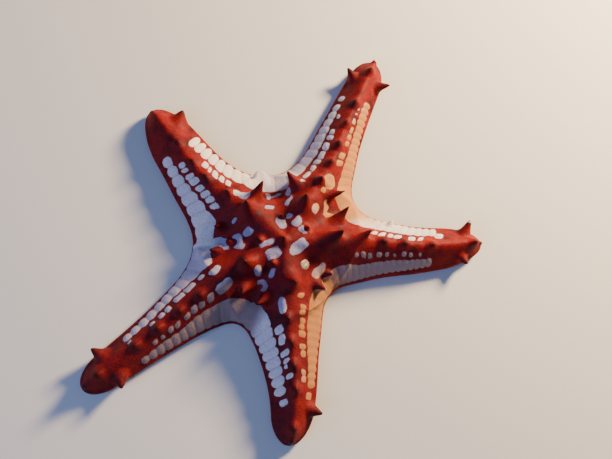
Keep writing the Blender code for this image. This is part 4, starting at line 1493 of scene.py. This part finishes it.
def disc_spine(heading: float, radius: float, offset: tuple, root_radius: float, **shape: float) -> Spine:
    """A spine of the disc, by the heading and radius of its root and the offset of its tip.

    Args:
        heading: of the root, in degrees.
        radius: of the root, from the mouth.
        offset: of the tip from the root.
        root_radius: how thick the root is.
        shape: how slim and how blunt the spine is.

    Returns:
        The spine.
    """
    way = np.array(offset, float)
    length = float(np.linalg.norm(way))
    return Spine(on_disc(heading, radius)[0], way / length, length, root_radius, **shape)


def on_disc(heading: float, radius: float) -> tuple[np.ndarray, np.ndarray]:
    """The point of the upper side over a plan place near the disc, and its outward direction.

    Args:
        heading: in degrees.
        radius: from the mouth.

    Returns:
        The point and a unit vector.
    """
    spot = np.array(tuple(polar_point(radius, heading)))
    runs = np.arange(max(radius - SEARCH_MM, SEARCH_STEP), radius + SEARCH_MM, SEARCH_STEP)
    shares = np.linspace(0, 1, SEARCH_SHARES)
    best = (math.inf, None, 0.0, 0.0)
    for pair in FLANKS:
        for flank in pair:
            away = np.linalg.norm(flank.top(runs, shares)[..., :2] - spot, axis=2)
            row, column = np.unravel_index(np.argmin(away), away.shape)
            if away[row, column] < best[0]:
                best = (away[row, column], flank, float(runs[row]), float(shares[column]))
    _, flank, run, share = best
    here = flank.surface(run, share)
    ahead = flank.surface(run + SEARCH_STEP, share) - here
    step = 1 / (SEARCH_SHARES - 1)
    aside = flank.surface(run, max(share - step, 0.0)) - flank.surface(run, min(share + step, 1.0))
    normal = np.cross(ahead, aside)
    return here, normal / np.linalg.norm(normal) * math.copysign(1.0, normal[2])


def ridge_knob(flank: Flank, run: float, height: float, radius: float, lean: float = KNOB_LEAN) -> Spine:
    """A low, broad knob on the crest of an arm, leaning a little outward.

    Args:
        flank: a side of the arm.
        run: where on the crest.
        height: of its tip.
        radius: of its root.
        lean: outward, as a share of its height.

    Returns:
        The knob.
    """
    out = flank.arm.out()
    way = np.array((out.x * lean, out.y * lean, 1.0))
    waist, blunt = KNOB_SHAPE
    return Spine(flank.surface(run, 0.0), way / np.linalg.norm(way), height, radius, waist=waist,
                 blunt=blunt, pale_from=pale_tip(flank.arm, run))


def end_spine(flank: Flank, run: float, length: float, radius: float) -> Spine:
    """A stout spine standing out of the margin near an arm's end.

    Args:
        flank: the side of the arm.
        run: where along it.
        length: of the spine.
        radius: of its root.

    Returns:
        The spine.
    """
    out, aside, up = END_SPINE_WAY
    plan = flank.arm.out() * out + flank.arm.left() * flank.side * aside
    way = np.array((plan.x, plan.y, up))
    waist, blunt = END_SPINE_SHAPE
    return Spine(flank.surface(run, END_SPINE_SHARE), way / np.linalg.norm(way), length, radius, waist=waist,
                 blunt=blunt, pale_from=pale_tip(flank.arm, run))


def pale_tip(arm: Arm, run: float) -> float | None:
    """The share of its height from which the spine at a run of an arm is pale, or None if it is all red."""
    starts = [start for name, place, start in PALE_TIPPED if name == arm.name and abs(place - run) < 0.5]
    return starts[0] if starts else None


@dataclass(frozen=True)
class TwoTone:
    """A finish that runs from one colour to another by the mesh's field named share."""

    label: str
    start: str
    stop: str
    roughness: float
    ior: float = 1.5
    span: tuple[float, float] = (0.0, 1.0)
    glow: float = 0.0
    glow_radius: tuple[float, float, float] = (0.0012, 0.0008, 0.0005)

    def make(self) -> bpy.types.Material:
        """Builds the material.

        Returns:
            The finish.
        """
        material, shader = new_finish(self.label)
        share = put(material, "ShaderNodeAttribute", attribute_name="share").outputs["Fac"]
        low, high = self.span
        place = put(material, "ShaderNodeMapRange", {"Value": share, "From Min": low, "From Max": high})
        put_colour(material, shader, put(material, "ShaderNodeMix", {
            "Factor": place.outputs["Result"], "A": linear(self.start), "B": linear(self.stop)},
            data_type="RGBA"))
        shader.inputs["Roughness"].default_value = self.roughness
        shader.inputs["IOR"].default_value = self.ior
        shader.inputs["Subsurface Weight"].default_value = self.glow
        shader.inputs["Subsurface Radius"].default_value = self.glow_radius
        return material


@dataclass(frozen=True)
class WetFlesh(TwoTone):
    """Tube-foot flesh: thin, moist and faintly see-through, so that its edges glow and it glints.

    It is paler towards the sucker.
    """

    label: str = "wet_tube_foot"
    start: str = "#e2c08e"
    stop: str = "#f0e2c6"
    roughness: float = 0.28
    ior: float = 1.36
    span: tuple[float, float] = (0.75, 0.95)
    glow: float = 0.3


@dataclass(frozen=True)
class ChalkSpine(TwoTone):
    """Chalk under a film of skin: matt and cream at the tips, stained with flesh at the roots."""

    label: str = "skin_covered_chalk"
    start: str = "#b98e74"
    stop: str = "#e9dcc6"
    roughness: float = 0.55
    ior: float = 1.45


@dataclass(frozen=True)
class SieveStone(TwoTone):
    """The sieve plate's bare chalk: dry-looking cream ridges, with painted shade in the grooves."""

    label: str = "grooved_chalk"
    # Painted shade of the grooves
    start: str = "#7d5a44"
    stop: str = "#ecdcbc"
    roughness: float = 0.7


@dataclass(frozen=True)
class MouthSkin(TwoTone):
    """The soft skin round the mouth: moist and smooth, so that its puckers shine, and painted dark in its
    opening as painted shade.
    """

    label: str = "moist_mouth_skin"
    # Painted shade of the opening
    start: str = "#3a1512"
    stop: str = "#b98a70"
    roughness: float = 0.4


@dataclass
class Stems:
    """Many small turned shapes in one mesh, such as tube feet or spines.

    The profile gives the radius at shares of the length, as a share of each shape's own radius.
    """

    name: str
    material: bpy.types.Material
    profile: tuple[tuple[float, float], ...]
    sides: int
    square_to: tuple[float, float, float] = (1.0, 0.3, 0.2)
    roots: list[np.ndarray] = field(default_factory=list)
    tips: list[np.ndarray] = field(default_factory=list)
    sways: list[tuple[float, float, float]] = field(default_factory=list)
    radii: list[float] = field(default_factory=list)

    def add(self, root: np.ndarray, tip: np.ndarray, radius: float,
            sway: tuple[float, float, float] = (0.0, 0.0, 0.0)) -> None:
        """Notes one shape, from its root to its tip, with how far its middle bends aside.

        Args:
            root: x, y and z.
            tip: x, y and z.
            radius: the shape's own radius.
            sway: offset of the middle.
        """
        self.roots.append(root)
        self.tips.append(tip)
        self.radii.append(radius)
        self.sways.append(sway)

    def build(self, slot: str) -> bpy.types.Object:
        """Makes the mesh of all shapes.

        Args:
            slot: not used.

        Returns:
            The new object.
        """
        roots, tips, sways = np.array(self.roots), np.array(self.tips), np.array(self.sways)
        radii = np.array(self.radii)[:, None, None, None]
        axis = (tips - roots) / np.linalg.norm(tips - roots, axis=1)[:, None]
        first = np.cross(axis, self.square_to)
        first /= np.linalg.norm(first, axis=1)[:, None]
        second = np.cross(axis, first)
        along, wide = np.array(self.profile).T
        turn = np.arange(self.sides) * math.tau / self.sides
        ring = (np.cos(turn)[:, None] * first[:, None] + np.sin(turn)[:, None] * second[:, None])[:, None]
        centre = roots[:, None] + (tips - roots)[:, None] * along[:, None]
        centre = centre + sways[:, None] * (4 * along * (1 - along))[:, None]
        points = centre[:, :, None] + ring * wide[:, None, None] * radii
        points[..., 2] = np.maximum(points[..., 2], FLOOR_CLEAR)
        count, rings = len(roots), len(along)
        number = np.arange(count * rings * self.sides).reshape(count, rings, self.sides)
        after = np.roll(number, -1, axis=2)
        quads = np.stack((number[:, :-1], after[:, :-1], after[:, 1:], number[:, 1:]), -1).reshape(-1, 4)
        faces = quads.tolist() + number[:, 0, ::-1].tolist() + number[:, -1].tolist()
        share = np.broadcast_to(along[None, :, None], number.shape)
        piece = add_piece(self.name, points.reshape(-1, 3), faces, self.material, {"share": share.ravel()})
        log.info("%s: %d shapes, %d faces", self.name, count, len(faces))
        return piece


@dataclass(frozen=True)
class SpineRow:
    """One row of spines beside a groove: how far aside its roots and tips are, and how low its tips."""

    start: float
    stop: float
    low: float
    radius: float
    spacing: float


@dataclass(frozen=True)
class JawRow:
    """One row of spines on a jaw: radii and heights of its roots and tips, thickness and spacing."""

    start: float
    stop: float
    high: float
    low: float
    radius: float
    spacing: float


@dataclass
class Underside:
    """The tube feet, the spines along the grooves, the jaws' spines and the mouth."""

    foot_step: float = 2.5
    foot_aside: float = 1.45
    foot_splay: float = 0.75
    foot_sides: int = 12
    foot_sunk: float = 0.4
    stalk_radius: float = 0.52
    stalk_vary: tuple[float, float] = (0.9, 0.25)
    # Some feet are drawn in, to a height over the floor
    drawn_share: float = 0.22
    drawn_height: tuple[float, float] = (0.8, 1.6)
    stray_mm: float = 0.7
    sway_share: float = 0.6
    first_foot: float = 12.0
    last_foot: float = 5.0
    # Slender spines that guard the groove, and two rows of stout ones on the flat beside it
    lip_rows: tuple[SpineRow, ...] = (
        SpineRow(3.95, 3.3, 0.5, 0.34, 1.0),
        SpineRow(5.3, 5.45, 0.02, 0.5, 1.0),
        SpineRow(6.5, 6.7, 0.06, 0.46, 1.15))
    lip_step: float = 1.7
    lip_start: float = 10.5
    lip_stagger: float = 0.4
    lip_vary: float = 0.25
    lip_droop: float = 0.3
    spine_sunk: float = 0.35
    spine_vary: tuple[float, float] = (0.85, 0.3)
    spine_sides: int = 6
    # A fan of spines that points at the mouth, with a row of short ones behind it
    jaw_rows: tuple[JawRow, ...] = (
        JawRow(JAW_RADIUS - 0.9, 5.0, 1.7, 1.0, 0.42, 1.0),
        JawRow(JAW_RADIUS + 0.9, JAW_RADIUS - 0.2, 0.9, 0.1, 0.5, 1.15))
    jaw_spines: int = 5
    jaw_pinch: float = 0.7
    wrinkles: tuple[tuple[float, float], ...] = (
        (0.0, 1.2), (0.14, 0.92), (0.22, 1.08), (0.3, 0.88), (0.38, 1.04), (0.46, 0.84), (0.54, 1.0),
        (0.62, 0.8), (0.7, 0.95), (0.78, 0.8), (0.86, 1.05), (0.92, 1.6), (0.96, 1.85), (1.0, 1.75),
        (0.985, 1.1), (0.95, 0.5))
    blunt_spine: tuple[tuple[float, float], ...] = (
        (0.0, 1.0), (0.3, 0.94), (0.65, 0.82), (0.88, 0.62), (0.97, 0.4), (1.0, 0.15))

    def build(self) -> None:
        """Makes every piece of the underside."""
        feet = Stems("tube_feet", WetFlesh().make(), self.wrinkles, self.foot_sides)
        spines = Stems("groove_spines", ChalkSpine().make(), self.blunt_spine, self.spine_sides)
        for pair in FLANKS:
            for flank in pair:
                self.feet(flank, feet)
                self.lip(flank, spines)
        for line in INTERRADII:
            self.jaw(line, spines)
        feet.build("pale_skin")
        spines.build("pale_skin")
        Mouth().build()

    def feet(self, flank: Flank, feet: Stems) -> None:
        """One row of tube feet, half of a step ahead of the row across the groove.

        Args:
            flank: the side of the arm.
            feet: takes the feet.
        """
        ahead = 0.5 * self.foot_step if flank.side > 0 else 0.0
        runs = np.arange(self.first_foot + ahead, flank.arm.length - self.last_foot, self.foot_step)
        shrink = flank.under_shrink(runs)[1]
        roots = flank.underneath(runs, self.foot_aside)
        splayed = flank.underneath(runs, self.foot_aside + self.foot_splay)
        seed = flank.arm.heading + flank.side
        least, more = self.drawn_height
        thin, thick = self.stalk_vary
        for k in range(len(runs)):
            drawn_in = scatter(k, seed) < self.drawn_share
            low = least + more * scatter(k, seed + 1) if drawn_in else 0.0
            out = flank.arm.out() * (self.stray_mm * (scatter(k, seed + 2) - 0.5))
            tip = np.array((splayed[k, 0] + out.x, splayed[k, 1] + out.y, low))
            sway = (out.y * self.sway_share, -out.x * self.sway_share, 0.0)
            radius = self.stalk_radius * shrink[k] * (thin + thick * scatter(k, seed + 3))
            feet.add(roots[k] + (0.0, 0.0, self.foot_sunk), tip, radius, sway)

    def lip(self, flank: Flank, spines: Stems) -> None:
        """The slender spines that guard the groove, and two rows of stout ones on the flat beside it.

        Args:
            flank: the side of the arm.
            spines: takes the spines.
        """
        thin, thick = self.spine_vary
        for number, row in enumerate(self.lip_rows):
            runs = np.arange(self.lip_start + self.lip_stagger * number, flank.arm.length - self.last_foot,
                             self.lip_step * row.spacing)
            shrink = flank.under_shrink(runs)[1]
            roots, tips = flank.underneath(runs, row.start), flank.underneath(runs, row.stop)
            seed = flank.arm.heading * 0.7 + flank.side + number
            for k in range(len(runs)):
                bottom = min(row.low + self.lip_vary * scatter(k, seed), roots[k, 2] - self.lip_droop)
                radius = row.radius * shrink[k] * (thin + thick * scatter(k, seed + 1))
                spines.add(roots[k] + (0.0, 0.0, self.spine_sunk), np.array((*tips[k, :2], bottom)), radius)

    def jaw(self, line: Interradius, spines: Stems) -> None:
        """The fan of spines that one jaw points at the mouth, with a row of short ones behind it.

        Args:
            line: the jaw's line.
            spines: takes the spines.
        """
        middle = (self.jaw_spines - 1) / 2
        for row in self.jaw_rows:
            for k in range(self.jaw_spines):
                aside = (k - middle) * row.spacing
                root = polar_point(row.start, line.heading) + polar_point(aside, line.heading + 90)
                tip = polar_point(row.stop, line.heading)
                tip = tip + polar_point(aside * self.jaw_pinch, line.heading + 90)
                spines.add(np.array((*root, row.high)), np.array((*tip, row.low)), row.radius)


@dataclass
class Mouth:
    """The puckered skin round the mouth, closed above, with painted shade where the opening lies in its
    middle.
    """

    rings: int = 14
    sides: int = 72
    rim_gap: float = 0.4
    rim_rise: float = 0.5
    # The puckers, and the soft lip round the opening
    folds: int = 15
    fold_turn: float = 0.6
    fold_swell: float = 0.7
    fold_mm: float = 0.22
    fold_drop: float = 0.6
    lip_mm: float = 0.75
    lip_share: float = 0.3
    lip_width: float = 0.16
    opening: float = 0.16
    # How far the skin lies below the recess's roof
    sunk: float = 0.12
    under_roof: float = 0.15
    over_roof: float = 0.3
    # Painted shade of the opening: the shares of the radius between which the dark middle fades out
    opening_shade_span: tuple[float, float] = (0.12, 0.5)

    def build(self) -> bpy.types.Object:
        """Makes the mouth.

        Returns:
            The new object.
        """
        radius = np.linspace(0.0, THROAT_RADIUS - self.rim_gap, self.rings + 1)[1:][:, None]
        turn = (np.arange(self.sides) * math.tau / self.sides)[None]
        share = radius / radius[-1]
        folds = np.cos(turn * self.folds + share * self.fold_turn) * self.fold_mm
        folds = folds * np.sin(math.pi * share) ** self.fold_swell
        lip = self.lip_mm * np.exp(-((share - self.lip_share) / self.lip_width) ** 2)
        roof = np.interp(radius, (0.0, THROAT_RADIUS), (MOUTH_ROOF, THROAT_ROOF)) - self.sunk
        height = roof + folds * self.fold_drop - lip
        height = np.where(share < self.opening, MOUTH_ROOF - self.under_roof, height)
        height[-1] += self.rim_rise
        points = np.stack((radius * np.cos(turn), radius * np.sin(turn), height), -1).reshape(-1, 3)
        middles = ((0.0, 0.0, MOUTH_ROOF - self.under_roof), (0.0, 0.0, MOUTH_ROOF + self.over_roof))
        points = np.concatenate((points, middles))
        number = np.arange(self.rings * self.sides).reshape(self.rings, self.sides)
        after = np.roll(number, -1, axis=1)
        faces = np.stack((number[:-1], after[:-1], after[1:], number[1:]), -1).reshape(-1, 4).tolist()
        faces += [(len(points) - 2, b, a) for a, b in zip(number[0], after[0])]
        faces += [(len(points) - 1, a, b) for a, b in zip(number[-1], after[-1])]
        tones = np.append(np.broadcast_to(share, number.shape).ravel(), (0.0, 0.0))
        piece = add_piece("mouth", points, faces, MouthSkin().make(), {"share": ease(*self.opening_shade_span, tones)})
        log.info("mouth: %d faces", len(faces))
        return piece


@dataclass
class SievePlate:
    """The cream sieve plate, with its labyrinth of fine grooves."""

    radius: float = 3.0
    crown: float = 1.0
    sunk: float = 0.6
    rings: int = 26
    sides: int = 132
    grooves: int = 19
    depth: float = 0.22
    smooth_middle: tuple[float, float] = (0.12, 0.4)
    smooth_rim: tuple[float, float] = (1.0, 0.86)
    flatness: float = 3.2
    # How dark the grooves are painted, as painted shade
    groove_shade: float = 0.9

    def build(self) -> bpy.types.Object:
        """Makes the plate on the disc's skin.

        Returns:
            The new object.
        """
        centre, way = on_disc(SIEVE_HEADING, SIEVE_RUN)
        share = np.linspace(0.0, 1.0, self.rings + 1)[1:][:, None]
        turn = (np.arange(self.sides) * math.tau / self.sides)[None]
        # Grooves that run outward and wind about each other, and fade at the middle and at the rim
        wander = turn * self.grooves + 1.1 * np.sin(share * 9 + 3 * turn) + 0.8 * np.sin(5 * turn - share * 6)
        cut = (0.5 + 0.5 * np.cos(wander)) * ease(*self.smooth_middle, share) * ease(*self.smooth_rim, share)
        outline = self.radius * (1 + 0.05 * np.sin(2 * turn + 0.6) + 0.03 * np.sin(5 * turn))
        height = self.crown * (1 - share ** self.flatness) - self.depth * cut
        height = np.where(share >= 1.0, -self.sunk, height)
        flat = np.stack((outline * share * np.cos(turn), outline * share * np.sin(turn), height), -1)
        flat = np.concatenate((flat.reshape(-1, 3), ((0.0, 0.0, self.crown), (0.0, 0.0, -self.sunk))))
        spin = Vector((0, 0, 1)).rotation_difference(Vector(way)).to_matrix()
        points = flat @ np.array(spin).T + centre
        number = np.arange(self.rings * self.sides).reshape(self.rings, self.sides)
        after = np.roll(number, -1, axis=1)
        faces = np.stack((number[:-1], number[1:], after[1:], after[:-1]), -1).reshape(-1, 4).tolist()
        faces += [(len(points) - 2, a, b) for a, b in zip(number[0], after[0])]
        faces += [(len(points) - 1, b, a) for a, b in zip(number[-1], after[-1])]
        # Painted shade in the grooves
        tone = np.append((1 - cut * self.groove_shade).ravel(), (1.0, 1.0))
        plate = add_piece("sieve_plate", points, faces, SieveStone().make(), {"share": tone})
        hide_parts("madreporite")
        log.info("sieve plate: %d faces", len(faces))
        return plate


@dataclass(frozen=True)
class MattPaper:
    """Matt white paper: it scatters light evenly, so that shadows show on it and nothing glares."""

    colour: str = "#dcdad6"
    roughness: float = 0.9

    def make(self) -> bpy.types.Material:
        """Builds the material.

        Returns:
            The finish.
        """
        material, shader = new_finish("matt_paper_floor")
        shader.inputs["Base Color"].default_value = linear(self.colour)
        shader.inputs["Roughness"].default_value = self.roughness
        return material


@dataclass(frozen=True)
class SoftLamp:
    """A square lamp that points at the middle of the animal: place and side in metres, watts and colour."""

    name: str
    place: tuple[float, float, float]
    side: float
    watts: float
    colour: str

    def build(self) -> None:
        """Hangs the lamp."""
        light = bpy.data.lights.new(self.name, "AREA")
        light.size = self.side
        light.energy = self.watts
        light.color = linear(self.colour)[:3]
        lamp = bpy.data.objects.new(self.name, light)
        lamp.location = self.place
        lamp.rotation_euler = (-Vector(self.place)).to_track_quat("-Z", "Y").to_euler()
        bpy.context.scene.collection.objects.link(lamp)


@dataclass
class Studio:
    """A pale floor, a warm key lamp at the upper right, a cool fill from the left, and the camera."""

    floor_size_m: float = 40.0
    lamps: tuple[SoftLamp, ...] = (SoftLamp("key", (0.44, 0.39, 0.29), 0.14, 17.0, "#ffe0b0"),
                                   SoftLamp("fill", (-0.76, -0.5, 0.62), 0.7, 8.0, "#93adf8"))
    surround: str = "#a9bde0"
    surround_strength: float = 0.23
    target_mm: tuple[float, float, float] = (14.71, 13.92, 0.0)
    distance_mm: float = 423.46
    look_from: tuple[float, float, float] = (-0.14508, -0.27285, 0.95106)
    view_degrees: float = 45.0
    sensor_mm: float = 36.0

    def floor(self) -> None:
        """Lays the floor."""
        half = self.floor_size_m / 2
        mesh = bpy.data.meshes.new("floor")
        corners = [(-half, -half, 0), (half, -half, 0), (half, half, 0), (-half, half, 0)]
        mesh.from_pydata(corners, [], [(0, 1, 2, 3)])
        mesh.materials.append(MattPaper().make())
        floor = bpy.data.objects.new("floor", mesh)
        bpy.context.scene.collection.objects.link(floor)

    def world(self) -> None:
        """A dim, slightly cool surround."""
        world = bpy.data.worlds.new("surround")
        world.use_nodes = True
        background = world.node_tree.nodes["Background"]
        background.inputs["Color"].default_value = linear(self.surround)
        background.inputs["Strength"].default_value = self.surround_strength
        bpy.context.scene.world = world

    def camera(self) -> None:
        """Sets the camera at the photo's angle."""
        lens = bpy.data.cameras.new("camera")
        lens.sensor_width = self.sensor_mm
        lens.lens = self.sensor_mm / 2 / math.tan(math.radians(self.view_degrees / 2))
        lens.clip_start = 0.01
        camera = bpy.data.objects.new("camera", lens)
        target = (np.array(self.target_mm) + MOUTH) * MM
        back = Vector(self.look_from).normalized()
        forward = -back
        right = forward.cross(Vector((0, 1, 0))).normalized()
        up = right.cross(forward)
        camera.matrix_world = camera_matrix(right, up, back, Vector(target) + back * self.distance_mm * MM)
        bpy.context.scene.collection.objects.link(camera)
        bpy.context.scene.camera = camera

    def build(self) -> None:
        """Sets up the whole studio."""
        self.floor()
        self.world()
        for lamp in self.lamps:
            lamp.build()
        self.camera()


def camera_matrix(right: Vector, up: Vector, back: Vector, place: Vector) -> Matrix:
    """The world matrix with these axes and this place."""
    return Matrix(((right.x, up.x, back.x, place.x), (right.y, up.y, back.y, place.y),
                   (right.z, up.z, back.z, place.z), (0, 0, 0, 1)))


def main() -> None:
    """Builds every sub-assembly in order."""
    skin = Skin().build()
    nodes = ["disc"] + [f"{arm.name}_{part}" for arm in ARMS for part in ("inner", "outer")]
    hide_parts(*nodes)
    log.info("skin: %d faces, %d triangles", len(skin.data.polygons),
             sum(len(face.vertices) - 2 for face in skin.data.polygons))
    SievePlate().build()
    Underside().build()
    Studio().build()


if __name__ == "__main__":
    logging.basicConfig(level=logging.INFO, format="%(name)s: %(message)s")
    main()
